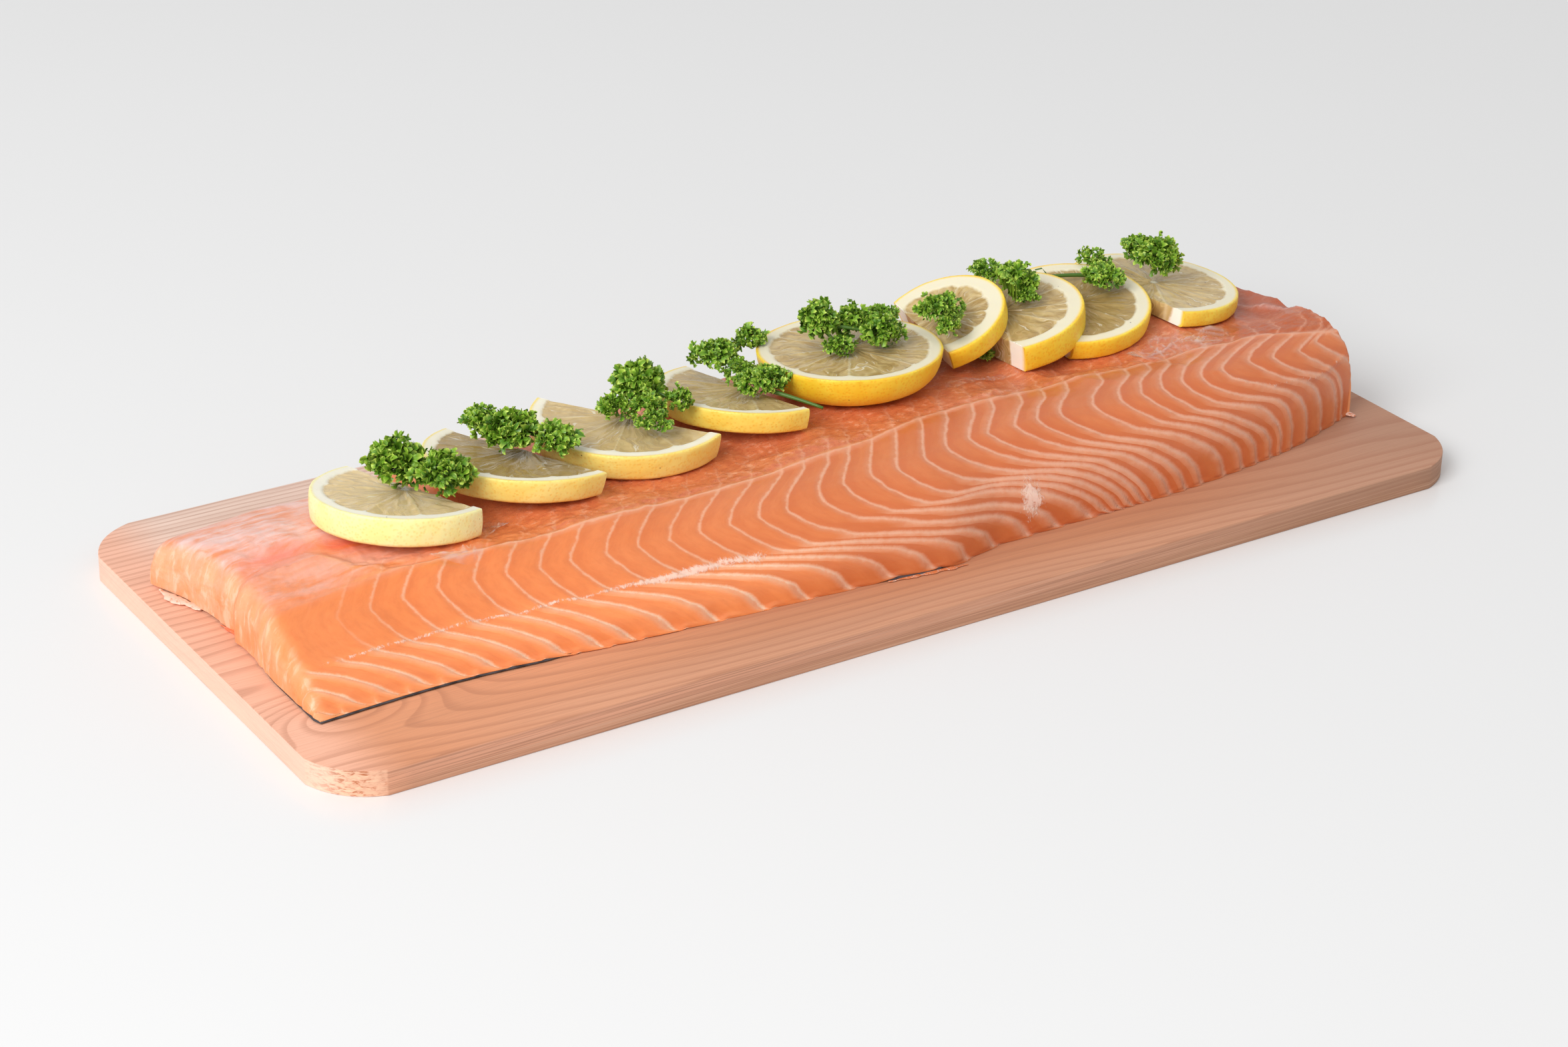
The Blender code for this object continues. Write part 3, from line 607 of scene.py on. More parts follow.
def bed_height(x, y):
    """The surface that the lemon rests on: the fillet, pressed or swollen to lie flat under every slice."""
    laid = under_film(x, y)
    narrow_groove = GROOVE_DEPTH * bell(y - spine_at(x), GROOVE_WIDTH) * (1 - laid)
    broad_groove = BROAD_GROOVE_DEPTH * bell(y - spine_at(x), BROAD_GROOVE_WIDTH) * laid
    bare = PLANK_THICKNESS + dome_height(x, y) - narrow_groove - broad_groove
    pressed = np.zeros_like(bare)
    swollen = np.full_like(bare, BED_UP)
    covered = np.zeros_like(bare)
    for spec in (LEMONS[number] for number in LEMONS if number != STANDS_CLEAR):
        weight = 1 - ease(BED_MARGIN, BED_MARGIN + BED_BLEND, outside_slice(spec, x, y))
        above_bare = slice_plane(spec, x, y) - bare
        pressed = np.maximum(pressed, weight * np.clip(-above_bare, 0, BED_DOWN))
        swollen = np.minimum(swollen, BED_UP + weight * (np.clip(above_bare, 0, BED_UP) - BED_UP))
        covered = np.maximum(covered, weight)
    swollen = swollen * (1 - ease(FILM_FAR - 24, FILM_FAR + 10, y))
    return bare + swollen * covered - pressed


def flesh_height(x, y):
    lowest = PLANK_THICKNESS + 2 * GAP + SKIN_THICKNESS + THINNEST_FLESH
    return np.maximum(bed_height(x, y) - FILM_ROOM * under_film(x, y), lowest)


print(f"thickness in the middle: {float(dome_height(0, 0)):.1f} mm")

# %% [markdown]
# ## Muscle bands and fat lines
#
# A fish's muscle is built of thin V-shaped bands with pale fat between them. On a trimmed side they show
# as lines that start at the lateral line near the top edge, lean back to a tip halfway down, and then
# trail far along the belly. No simple formula gives that, so the shape of one line is given at ten
# places along the fish: how far it trails at each height up the side. Between the places the shapes are
# blended. The result is a number called the phase: it grows by one from each line to the next, so a whole
# number is a line.

# %% The shape of the lines
LINE_SHAPES = {
    -120: [(0, 32), (4, 26), (8, 20), (12, 14), (15, 8), (16, 6), (20, 3), (25, 1), (30, 0), (33, 2), (38, 6),
           (43, 10), (45, 12)],
    -40: [(0, 66), (6, 60.7), (10, 52.7), (12.5, 37.7), (15, 22.7), (16, 12.7), (21, 5.7), (26, 1.7),
          (29.5, 0), (35, 3.7), (41, 10.7), (48, 18.7)],
    0: [(0, 76), (9, 62), (14, 52), (18, 37), (20.3, 21.7), (21, 12.7), (25, 5.7), (30, 1.7), (36.5, 0),
        (41, 1.7), (47, 5.7), (56, 11.7)],
    45: [(0, 50), (3, 49), (6, 46), (12, 40), (18, 31), (21.5, 20), (25, 11), (29, 5), (34, 1), (39, 0),
         (46, 6), (51, 11)],
    110: [(0, 38), (3, 37), (7, 36.5), (11, 33.5), (16, 25.5), (21, 16.5), (25, 6.5), (32, 1), (37, 0),
          (44, 4.5), (50, 14.5)],
    121: [(0, 32.5), (7, 32), (12, 31), (16, 29), (19, 25.5), (21.5, 18), (23.5, 11), (26, 6), (29, 2.5),
          (32, 0.5), (36, 0), (39, 1), (42, 5), (47, 12.5), (50, 21), (52, 28)],
    134.5: [(0, 31.5), (7, 31), (12, 29.8), (16, 27.5), (19.5, 23.5), (22, 18.5), (24, 14), (26, 10.5),
            (28.5, 5), (31, 1.3), (34, 0), (37, 0.5), (40, 6), (42.5, 11), (45, 19), (47, 28)],
    147: [(0, 27.5), (7, 27), (12, 26), (16, 24), (19.5, 20.5), (22, 15.5), (24, 11), (26, 7.5), (29.5, 3.3),
          (33.5, 0.6), (36.5, 0), (40, 4.7), (42, 12), (44, 24)],
    156: [(0, 27.5), (7, 27), (12, 26), (16, 24), (19, 20.5), (21.5, 15), (24, 9.5), (27, 5), (30, 2),
          (34, 0), (36.5, 5), (38, 14), (39.5, 26)],
    168: [(0, 19), (8, 18.5), (13, 17.5), (17, 15.5), (20, 12.5), (22.5, 9), (27, 3.4), (31.5, 0), (33, 7),
          (35, 18)],
}
LINE_TIPS = [-143, -132, -122, -112, -102.5, -91.5, -81.5, -71.5, -62, -52, -42.7, -33.5, -22, -12.5, -1.7,
             7.5, 18, 27.5, 37, 44, 54, 62, 70.5, 83, 93, 101.5, 109.5, 118, 125.5, 134.5, 147, 156, 168]
LATERAL_LINE = [(-200, 37.5), (-180, 38.5), (-140, 41), (-100, 43), (-60, 46.5), (-20, 50.5), (0, 54.5),
                (20, 57.5), (60, 57.5), (95, 58), (115, 57), (131, 55.5), (145, 51), (163, 45), (173, 38.5),
                (186, 32), (200, 27)]
LEFT_SPACING = 10.5
RIGHT_SPACING = 9.5
TABLE_STEP = 0.5
TABLE_LEFT = -215


def phase_row(height, along):
    """The phase at one height up the side, for every place in along."""
    places = sorted(LINE_SHAPES)
    trails = []
    for place in places:
        heights, values = np.array(LINE_SHAPES[place], float).T
        trails.append(np.interp(height, heights, values) + 0.5 * max(height - heights[-1], 0))
    tips = np.arange(-290, 260, 1.0)
    tip_here = np.interp(along, np.maximum.accumulate(tips + np.interp(tips, places, trails)), tips)
    before_first = np.minimum(tip_here - LINE_TIPS[0], 0) / LEFT_SPACING
    after_last = np.maximum(tip_here - LINE_TIPS[-1], 0) / RIGHT_SPACING
    return np.interp(tip_here, LINE_TIPS, np.arange(len(LINE_TIPS))) + before_first + after_last


def band_phase(x, side):
    """The phase at points x along the fish and side up from its near edge, read from a table."""
    heights = np.arange(0, 150, TABLE_STEP)
    along = np.arange(TABLE_LEFT, -TABLE_LEFT, TABLE_STEP)
    table = np.array([phase_row(height, along) for height in heights])
    for _ in range(3):
        table[1:-1] = (table[:-2] + 2 * table[1:-1] + table[2:]) / 4
    rows = np.clip(side / TABLE_STEP, 0, len(heights) - 1.001)
    cells = np.clip((x - TABLE_LEFT) / TABLE_STEP, 0, len(along) - 1.001)
    row, cell = rows.astype(int), cells.astype(int)
    up, on = rows - row, cells - cell
    low = table[row, cell] * (1 - on) + table[row, cell + 1] * on
    high = table[row + 1, cell] * (1 - on) + table[row + 1, cell + 1] * on
    return low * (1 - up) + high * up


print(f"{len(LINE_TIPS)} lines set by their tips")

# %% [markdown]
# ## The flesh
#
# The flesh is a fine grid laid over the form: columns 0.7 mm apart along the fish, and rows that start at
# the near edge on the plank, climb the side, cross the top and go down the far side. More columns run
# down both cut ends. Each point is then pushed out or in a little. Bands swell between their lines, a low
# ridge follows the lateral line, and a torn crest stands up where the thin belly layer was pulled away.
# At the left end the groove wanders off the spine, and at the right end a seam crosses the side and a
# ridge runs over the back. A bump in the finish would be lighter, but it leaves outlines smooth, and here
# the bands show in the outline along the plank.

# %% Points of the plain form
COLUMN_STEP = 0.7
SIDE_ROWS = 104
TOP_ROWS = 38
WALL_ROWS = 20
SIDE_SHARE = 0.47
SKIN_DRAWN = 0.42
SKIN_TOP = PLANK_THICKNESS + GAP + SKIN_DRAWN + 0.1

columns = np.linspace(FILLET_LEFT, FILLET_RIGHT, round((FILLET_RIGHT - FILLET_LEFT) / COLUMN_STEP) + 1)
near = smooth_through(NEAR_EDGE, columns)[:, None]
far = smooth_through(FAR_EDGE, columns)[:, None]
fine = np.concatenate([np.linspace(0, 0.35, 400) ** 2 / 0.35, np.linspace(0.35, 0.93, 300)[1:],
                       1 - np.linspace(np.sqrt(0.07), 0, 120)[1:] ** 2])
fine_y = near + (far - near) * fine
dome = dome_height(np.broadcast_to(columns[:, None], fine_y.shape), fine_y)
way = np.hypot(np.diff(fine_y), np.diff(dome)).cumsum(axis=1)
way = np.concatenate([np.zeros((len(columns), 1)), way], axis=1)
top_share = 1 - (1 - SIDE_SHARE) * (1 - np.linspace(0, 1, TOP_ROWS + 1)[1:]) ** 1.15
share = np.concatenate([np.linspace(0, SIDE_SHARE, SIDE_ROWS + 1), top_share])
side_way = share * way[:, -1:]
row_y = np.array([np.interp(side_way[i], way[i], fine_y[i]) for i in range(len(columns))])
row_x = np.broadcast_to(columns[:, None], row_y.shape)
spots = np.stack([row_x, row_y, flesh_height(row_x, row_y)], axis=2)
print(f"{len(columns)} columns of {len(share)} rows, way over the fish {way[:, -1].mean():.0f} mm")

# %% Phase, spacing and places
MOVED_GROOVE = [(-193, 3), (-180, 8), (-160, 6), (-140, 3), (-110, -3)]
SEAM = [(125, 40), (132, 36), (139, 29), (149, 24.5), (160, 23), (172, 20.5), (190, 22)]
FAR_RIDGE = [(160, 10), (175, 5), (182, -2), (190, -14)]
CREST_SIDE = 16.5

phase = band_phase(row_x, side_way)
steps_x = np.gradient(phase, axis=0) / np.gradient(row_x, axis=0)
steps_s = np.gradient(phase, axis=1) / np.gradient(side_way, axis=1)
pitch = 1 / np.maximum(np.hypot(steps_x, steps_s), 0.02)
past_lateral = side_way - smooth_through(LATERAL_LINE, row_x)
soft = ripples(spots, 45, 1)
ragged = ripples(spots, 260, 2)
fray = ripples(spots * (1, 1.6, 1.6), 700, 5)
right_half = ease(-70, 40, row_x)
on_side = 1 - ease(-2, 2, past_lateral)
uncovered = 1 - under_film(row_x, row_y)
crest_at = CREST_SIDE + 1.8 * ripples(spots * (1, 0, 0), 60, 7)
groove_y = smooth_through(MOVED_GROOVE, row_x)
seam_at = smooth_through(SEAM, row_x)
seam = bell(side_way - seam_at - 0.8 * fray, 0.9) * ease(126, 138, row_x)
ridge_y = smooth_through(FAR_RIDGE, row_x)
far_ridge = bell(row_y - ridge_y, 2.2) * ease(163, 176, row_x)
print(f"lines from {pitch.min():.1f} mm apart")

# %% Relief
into_band = phase - np.floor(phase)
pillow = (1 - (1 - into_band) ** 2.4) * (1 - ease(0.80, 1.0, into_band)) - 0.7
thin_low = ease(20, 14, side_way) * ease(-10, -50, row_x)
swell = 0.22 + 0.16 * right_half + 0.21 * ease(36, 12, side_way) * (1 + right_half) + 0.75 * thin_low
swell = swell * np.maximum(ease(-185, -150, row_x), thin_low)
swell = swell * on_side * np.clip((pitch - 1.5) / 4, 0, 1) + 0.10 * (1 - on_side)
crest = bell(side_way - crest_at, 1.1) * ease(-30, -60, row_x) * ease(-198, -175, row_x) * (0.7 + 0.9 * fray)
lateral_ridge = 0.30 * bell(past_lateral, 0.8) - 0.30 * bell(past_lateral - 2.2, 1.2)
bare_back = ease(-1, 2, past_lateral) * (1 - ease(24, 34, row_y))
pimpled = 0.42 * ripples(spots * (1, 1.5, 1), 190, 21) + 0.45 * np.abs(ripples(spots * (1, 1.3, 1), 420, 22))
filled_groove = GROOVE_DEPTH * bell(row_y - spine_at(row_x), GROOVE_WIDTH)
moved_groove = (filled_groove - 1.9 * bell(row_y - groove_y, 3.5) + 0.8 * bell(row_y - groove_y + 10, 5)
                + 0.6 * ripples(spots * (1, 2.2, 1), 55, 15))
relief = pillow * swell + 0.35 * crest + lateral_ridge + pimpled * bare_back + 0.35 * seam + 0.9 * far_ridge
relief = relief + (0.35 * soft + moved_groove * ease(-112, -135, row_x)) * uncovered + 0.10 * ragged
print(f"relief from {relief.min():.2f} to {relief.max():.2f} mm")

# %% Where the skin's edge shows
SKIN_SHOWS = [(-200, 1), (-122, 1), (-108, 0.35), (-80, 0.35), (-66, 0), (-14, 0), (-8, 1), (8, 1), (14, 0),
              (200, 0)]
UNDERCUT = 2.2
LEFT_ROUNDING = 5
LEFT_DROP = 3.0
END_ROUNDING = 0.9


def skin_shown(x):
    """1 where the skin's dark line shows at the near edge, 0 where the flesh hangs over it."""
    return np.interp(x, *zip(*SKIN_SHOWS))


print("the skin shows at the thin end and in the middle")

# %% [markdown]
# The points move along arrows that stand square on the surface. After that the left end is bowed and
# rounded, and the lowest rows are brought down: to the skin's top where the skin shows, and nearly to the
# wood elsewhere.

# %% Push the points out, and go down the two cut ends
out = unit(np.cross(np.gradient(spots, axis=0), np.gradient(spots, axis=1)))
surface = spots + out * (relief * ease(0, 3, way[:, -1:] - side_way))[:, :, None]
scallop = (0.5 + 0.35 * right_half) * pillow * ease(9, 0, side_way)
surface[:, :, 1] -= scallop * ease(-165, -120, row_x)
from_left = row_x - FILLET_LEFT
surface[:, :, 0] += smooth_through(LEFT_END_BOW, row_y) * (1 - ease(0, 30, from_left))
surface[:, :, 2] = np.maximum(surface[:, :, 2], SKIN_TOP + 0.15)
foot = SKIN_TOP + 0.1 - (SKIN_TOP - PLANK_THICKNESS) * (1 - skin_shown(columns))[:, None]
surface[:, :, 2] -= (surface[:, :1, 2] - foot) * ease(7, 0, side_way)
lower_end = ease(SKIN_TOP, SKIN_TOP + 8, spots[:, :, 2])
surface[:, :, 2] -= LEFT_DROP * quarter_round(from_left / LEFT_ROUNDING) * lower_end


def end_wall(edge, way_out):
    """Points down a cut end, from its rim to the skin, with a soft rounding at the rim."""
    wall = []
    for t in np.linspace(0, 1, WALL_ROWS + 1)[1:]:
        points = edge.copy()
        points[:, 2] += (SKIN_TOP - edge[:, 2]) * t
        swell_out = END_ROUNDING * (1 - np.exp(-(edge[:, 2] - points[:, 2]) / 1.6))
        uneven = 0.45 * ripples(points, 160, 11) + 0.22 * ripples(points * (1, 0.5, 1.6), 420, 12)
        points[:, 0] += way_out * (swell_out + uneven * (1 - t))
        wall.append(points)
    return np.array(wall)


flesh_grid = np.concatenate([end_wall(surface[0], -1)[::-1], surface, end_wall(surface[-1], 1)])
column_count, row_count = flesh_grid.shape[:2]
print(f"flesh grid {column_count} by {row_count}")

# %% Close the flesh underneath
number = np.arange(column_count * row_count).reshape(column_count, row_count)
rim = [*number[:, 0], *number[-1, 1:], *number[::-1, -1][1:], *number[0, ::-1][1:-1]]
flat = flesh_grid.reshape(-1, 3)
hangs = np.zeros(len(rim))
hangs[WALL_ROWS:column_count - WALL_ROWS] = 1 - skin_shown(flesh_grid[WALL_ROWS:-WALL_ROWS, 0, 0])
lowered = flat[rim].copy()
lowered[:, 2] = SKIN_TOP - (SKIN_TOP - PLANK_THICKNESS - 0.08) * hangs
tucked = lowered + np.stack([0 * hangs, UNDERCUT * hangs, 0 * hangs], axis=1)
raised = tucked.copy()
raised[:, 2] = SKIN_TOP
flesh_points = np.concatenate([flat, lowered, tucked, raised])
below = np.array([rim, *(len(flat) + np.arange(3 * len(rim)).reshape(3, -1))])
after = np.roll(below, -1, axis=1)
skirt = np.stack([after[:-1], below[:-1], below[1:], after[1:]], axis=2).reshape(-1, 4).tolist()
flesh_faces = [*grid_faces(column_count, row_count), *skirt, below[-1, ::-1].tolist()]


def whole(values, on_ends=None):
    """Spreads values of the upper surface to the end walls, or sets those, and to the lowered rim."""
    ends = [np.repeat(edge, WALL_ROWS, axis=0) for edge in (values[:1], values[-1:])]
    if on_ends is not None:
        ends = [np.full_like(end, on_ends) for end in ends]
    flat = np.concatenate([ends[0], values, ends[1]]).reshape(-1)
    return np.concatenate([flat, flat[rim], flat[rim], flat[rim]])


print(f"{len(skirt)} faces in the skirt under the rim")

# %% [markdown]
# Trimming leaves scraps: a strip of membrane at the thin end, a red thread beside it, a flap at the thick
# end and a sliver under the belly. Each could be a piece of its own, but it is a ragged, flat strand of
# the same flesh, so it joins the fillet's mesh. Its row says the path on the wood, half its width, its
# height, and how white and how red it is.

# %% Scraps at the foot
SCRAPS = [([(-198.3, 40), (-197.6, 33), (-195, 28), (-193.2, 22)], 1.7, 1.3, 1.0, 0),
          ([(-192.2, 11), (-190.8, 5), (-190.4, -1)], 0.6, 0.8, 0.3, 1.0),
          ([(188.5, -39.5), (190.5, -43), (191.5, -46)], 1.7, 1.4, 0.75, 0),
          ([(-9.4, -64.9), (4, -66.6), (17.7, -68.2)], 0.9, 0.6, 0.5, 0)]
STRAND_RINGS = 31
STRAND_SIDES = 12


def strand(path, half_width, tall, seed):
    """A ragged flat strand that lies on the plank along a path."""
    t = np.linspace(0, 1, STRAND_RINGS)
    xs, ys = (np.interp(t, np.linspace(0, 1, len(path)), line) for line in zip(*path))
    spine = np.stack([xs, ys, np.full(len(t), PLANK_THICKNESS + 0.05 + tall / 2)], axis=1)
    ahead = np.gradient(spine, axis=0)
    across = unit(np.stack([-ahead[:, 1], ahead[:, 0], 0 * t], axis=1))
    full = np.sin(np.pi * np.clip(t, 0.02, 0.98)) ** 0.4 * (1 + 0.9 * ripples(spine, 420, seed))
    turn = np.linspace(0, 2 * math.pi, STRAND_SIDES, endpoint=False)
    sideways = np.cos(turn) * (half_width * full)[:, None] + 0.6 * ripples(spine, 300, seed + 1)[:, None]
    points = spine[:, None] + sideways[:, :, None] * across[:, None]
    points[:, :, 2] += np.sin(turn) * tall / 2 * np.clip(full, 0.2, 1)[:, None]
    return points.reshape(-1, 3)


scrap_white, scrap_red = [], []
for number, (path, half_width, tall, white, red) in enumerate(SCRAPS):
    scrap_points = strand(path, half_width, tall, 60 + 3 * number)
    flesh_faces += shifted(hose_faces(STRAND_RINGS, STRAND_SIDES), len(flesh_points))
    flesh_points = np.concatenate([flesh_points, scrap_points])
    scrap_white += [white] * len(scrap_points)
    scrap_red += [red] * len(scrap_points)
print(f"{len(flesh_points)} points, {len(flesh_faces)} faces in the flesh")

# %% [markdown]
# ### Raw salmon
#
# The lines could be painted on as a picture, but a picture blurs close up and slides when the form
# changes. Instead the material reads the phase at each point. Its nearest whole number is the nearest
# line, and the distance to it, times the spacing of the lines there, is a distance in millimetres. That
# gives a fine pale line and, on its outer side, a wide soft halo where the sheet of fat lies just under
# the surface. Behind the lateral line the flesh is darker, mottled and pimpled, and at the thin end a
# pinkish membrane covers the back.

# %% Where the tints lie
membrane = ease(-118, -150, row_x) * ease(-3, 7, past_lateral) * (0.42 + 0.58 * ease(2, 12, row_y))
membrane = membrane + 0.5 * far_ridge
blush = bell(row_y - groove_y, 6) * ease(-108, -125, row_x)
blush = blush * np.clip(0.75 + 0.8 * soft + 0.8 * ripples(spots * (1, 2, 1), 70, 33), 0, 1)
white_patch = 1.15 * bell(np.hypot((row_x - 47) / 4.2, (side_way - 12.5) / 6.5), 1)
torn_crest = 0.85 * bell(side_way - crest_at, 1.7) * ease(-40, -52, row_x) * ease(-100, -72, row_x)
thin_crest = 0.72 * bell(side_way - crest_at, 0.7) * ease(-60, -72, row_x) * ease(-200, -170, row_x)
torn_white = np.clip(white_patch + torn_crest + thin_crest + 0.45 * seam, 0, 1)
on_scraps = np.ones(len(scrap_white))
FLESH_VALUES = {
    "phase": (whole(phase), 0.5 * on_scraps),
    "pitch": (whole(pitch), 10 * on_scraps),
    "side": (whole(side_way), 60 * on_scraps),
    "past lateral": (whole(past_lateral), -10 * on_scraps),
    "cut end": (whole(ease(4, 0, from_left), on_ends=1), 0 * on_scraps),
    "membrane": (whole(membrane), 0 * on_scraps),
    "blush": (whole(blush), scrap_red),
    "back": (whole(ease(-1, 3, past_lateral) * ease(-135, -85, row_x)), 0 * on_scraps),
    "torn white": (whole(torn_white), scrap_white),
}
print(f"membrane covers {100 * float((membrane > 0.3).mean()):.0f}% of the upper surface")

# %% Lines and halos
salmon = Finish("raw salmon")
phase_value = salmon.attribute("phase")
side_value = salmon.attribute("side")
past_value = salmon.attribute("past lateral")
back_value = salmon.attribute("back")
x = salmon.parts(salmon.place())[0]
wobble = salmon.noise(0.25)
wobbled = phase_value + (wobble - 0.5) * (past_value.rise(0, 6) * 0.65 + 0.16)
away = (wobbled - wobbled.work("ROUND")) * salmon.attribute("pitch")
distance = abs(away + (salmon.noise(1.6, rough=0.6) * 0.5 - 0.25))
rightness = x.rise(-80, 60)
low_side = side_value.rise(34, 14)
shingled = side_value.rise(21, 13) * x.rise(-5, -60)
broken = salmon.noise(0.5, detail=4, rough=0.6)
thick = rightness * (low_side * 0.14 + 0.07) + 0.20 + broken.rise(0.3, 0.7) * 0.14
line = 1 - (distance / thick).rise(0, 2.6)
# In the shingled zone the halo reaches further and is laid on thicker: the fat's own halo with a painted
# highlight on each band's raised edge.
halo_reach = rightness * (low_side + 1.7) + 1.5 + shingled * 1.6
halo = (1 - (distance / halo_reach).rise(0, 1)) * (away.rise(0.12, -0.12) * 0.92 + 0.08)
top_face = 1 - salmon.attribute("cut end")
fade_left = x.rise(-186, -150).work("MAXIMUM", side_value.rise(19, 15))
shown = (past_value.rise(1, -1) * 0.55 + 0.45) * fade_left * top_face * past_value.rise(26, 6)
lateral_away = abs(past_value + (wobble * 2 - 1))
lateral_shown = x.rise(-178, -120) * top_face
halo_patches = salmon.noise((0.16, 0.3, 0.3), rough=0.6).rise(0.3, 0.7) * 0.6 + 0.7
halo_weight = (rightness * 0.26 + low_side * 0.30 + 0.17) * halo_patches + shingled * 0.30
halo_weight = halo_weight * shown * side_value.rise(-1, 2)
line_weight = (rightness * 0.30 + broken.rise(0.25, 0.6) * 0.35 + 0.28) * shown
print("lines read from the phase")

# %% Salmon colours
# The base orange is painted paler at the left end and darker to the right: painted light and shade of the
# lamp's falloff.
ORANGE_LEFT, ORANGE_RIGHT = (0.87, 0.245, 0.066), (0.650, 0.172, 0.048)
# On the low, shingled left side the fat lines and halos are paler: the fat's own colour with a painted
# highlight on each band's raised lower edge.
FAT_LINE, FAT_LINE_RIGHT, FAT_LINE_LOW_LIT = (0.86, 0.48, 0.31), (0.80, 0.40, 0.26), (1.0, 0.72, 0.52)
FAT_HALO, FAT_HALO_LOW_LIT = (0.83, 0.385, 0.225), (0.95, 0.50, 0.30)
PALE_ORANGE = (0.88, 0.31, 0.12)
# A brighter orange on the low, shingled left side: painted light where that side faces the lamp.
LOW_ORANGE_LIT = (1.0, 0.33, 0.105)
BAND_DEEP = (0.58, 0.115, 0.028)
BACK_FLESH, DARK_BACK, PALE_BACK = (0.66, 0.185, 0.075), (0.56, 0.125, 0.050), (0.88, 0.43, 0.27)
FAR_BACK, FAR_TOP = (0.38, 0.085, 0.038), (0.49, 0.100, 0.022)
MEMBRANE_PINK, BLUSH_RED, TORN_WHITE = (0.87, 0.60, 0.55), (0.86, 0.15, 0.07), (0.94, 0.66, 0.54)

streaks = salmon.noise((0.05, 0.30, 0.30), detail=5, rough=0.6, bent=0.6)
blotch = salmon.noise((0.035, 0.05, 0.05))
fine_grain = salmon.noise(salmon.vector(phase_value * 5, side_value * 0.25, 0), detail=4, rough=0.6)
mottle = salmon.noise((0.30, 0.50, 0.40), detail=4, rough=0.62, bent=0.5)
veil = salmon.noise((0.055, 0.12, 0.12), detail=5, rough=0.55, bent=1.2).rise(0.36, 0.60) * 0.55
veil = salmon.attribute("membrane") * (streaks.rise(0.30, 0.66) * 0.45 + veil)
glow = salmon.attribute("blush") * (streaks.rise(0.25, 0.6) * 0.5 + 0.25)
fray_noise = salmon.noise((0.9, 0.55, 0.55), detail=4, rough=0.7, bent=0.8)
frayed = ((fray_noise - 0.5) * 2.2 + salmon.attribute("torn white")).rise(0.42, 0.95)
# Painted shade: a deeper orange just past each line, where the band before would shade the start of the next.
band_start_shade = away.rise(0.1, 0.7) * away.rise(4.5, 1.0)
end_streaks = salmon.noise((0.15, 0.38, 0.13), detail=4, rough=0.6, bent=0.5)
end_patch = salmon.noise((0.1, 0.12, 0.12)).rise(0.3, 0.7)
end_colour = end_patch.between((0.88, 0.315, 0.115), (0.88, 0.42, 0.20)).coats(
    ((0.98, 0.66, 0.46), end_streaks.rise(0.50, 0.66) * 0.6),
    ((0.88, 0.26, 0.07), end_streaks.rise(0.46, 0.32) * 0.4))
# The fat lines are painted paler in the shingled zone: painted highlight on the band edges, over the fat's
# own colour.
fat = rightness.between(FAT_LINE, FAT_LINE_RIGHT).toward(FAT_LINE_LOW_LIT, shingled)
# The base from ORANGE_LEFT to ORANGE_RIGHT is painted light and shade along the fish.
flesh = x.rise(-150, 30).between(ORANGE_LEFT, ORANGE_RIGHT).coats(
    (PALE_ORANGE, blotch.rise(0.35, 0.7) * 0.22),
    # painted light on the low, shingled left side
    (LOW_ORANGE_LIT, shingled * 0.85),
    (BAND_DEEP, fine_grain.rise(0.35, 0.75) * 0.24),
    # painted shade at the start of each band
    (BAND_DEEP, band_start_shade * shown * (rightness * 0.25 + 0.25)),
    (BACK_FLESH, back_value * 0.75),
    (DARK_BACK, back_value * mottle.rise(0.50, 0.38) * 0.6),
    (PALE_BACK, back_value * mottle.rise(0.54, 0.70) * 0.55),
    (FAR_BACK, x.rise(120, 165) * past_value.rise(14, 26) * 0.75),
    (FAR_TOP, x.rise(140, 165) * past_value.rise(0, 3) * past_value.rise(20, 14) * 0.85),
    # The halo is paler in the shingled zone: the fat's own halo with a painted highlight along the band
    # edges.
    (shingled.between(FAT_HALO, FAT_HALO_LOW_LIT), halo * halo_weight),
    (fat, line * line_weight),
    (FAT_HALO, lateral_away.rise(2.6, 0.2) * lateral_shown * 0.45),
    (fat, lateral_away.rise(0.75, 0.15) * lateral_shown * 0.55),
    (MEMBRANE_PINK, veil),
    (BLUSH_RED, glow),
    (TORN_WHITE, frayed * 0.85),
    (end_colour, salmon.attribute("cut end") * 0.80))
print("flesh colours laid from the base up to the cut ends")

# %% Gloss, and the fillet set down
wet = salmon.noise((0.35, 0.7, 0.7), detail=5, rough=0.6)
pimples = salmon.noise((0.55, 0.8, 0.8), rough=0.6).rise(0.52, 0.72)
wet_height = wet * 0.5 + fine_grain * 0.3 + veil * 1.2 + line * shown * 0.25 + frayed
wet_height = wet_height + pimples * back_value * 0.9
salmon_material = salmon.set(Base_Color=flesh, Roughness=wet * 0.18 + 0.30, Specular_IOR_Level=0.45,
                             Normal=salmon.bump(wet_height, 0.35, 0.45), Subsurface_Weight=0.12,
                             Subsurface_Scale=1.0 * MM, Subsurface_Radius=(2.2, 0.9, 0.5), Coat_Weight=0.20,
                             Coat_Roughness=0.16)
flesh_values = {name: np.concatenate(both) for name, both in FLESH_VALUES.items()}
fillet_mesh = mesh_of("fillet", flesh_points, flesh_faces)
fillet = set_down("fillet", fillet_mesh, salmon_material, flesh_values, sharp=60)
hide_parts("salmon_flesh")

# %% [markdown]
# ## The skin underneath
#
# The dark skin is left on the fish. It shows only as a wet, nearly black line where the flesh was trimmed
# shorter than it, at the thin end and at one place in the middle. Elsewhere the soft flesh hangs down
# over it, so there the skin's edge is drawn in, out of sight. A dark stripe on the flesh would be
# simpler. A thin sheet of its own gives the line a real edge, and its own gloss.

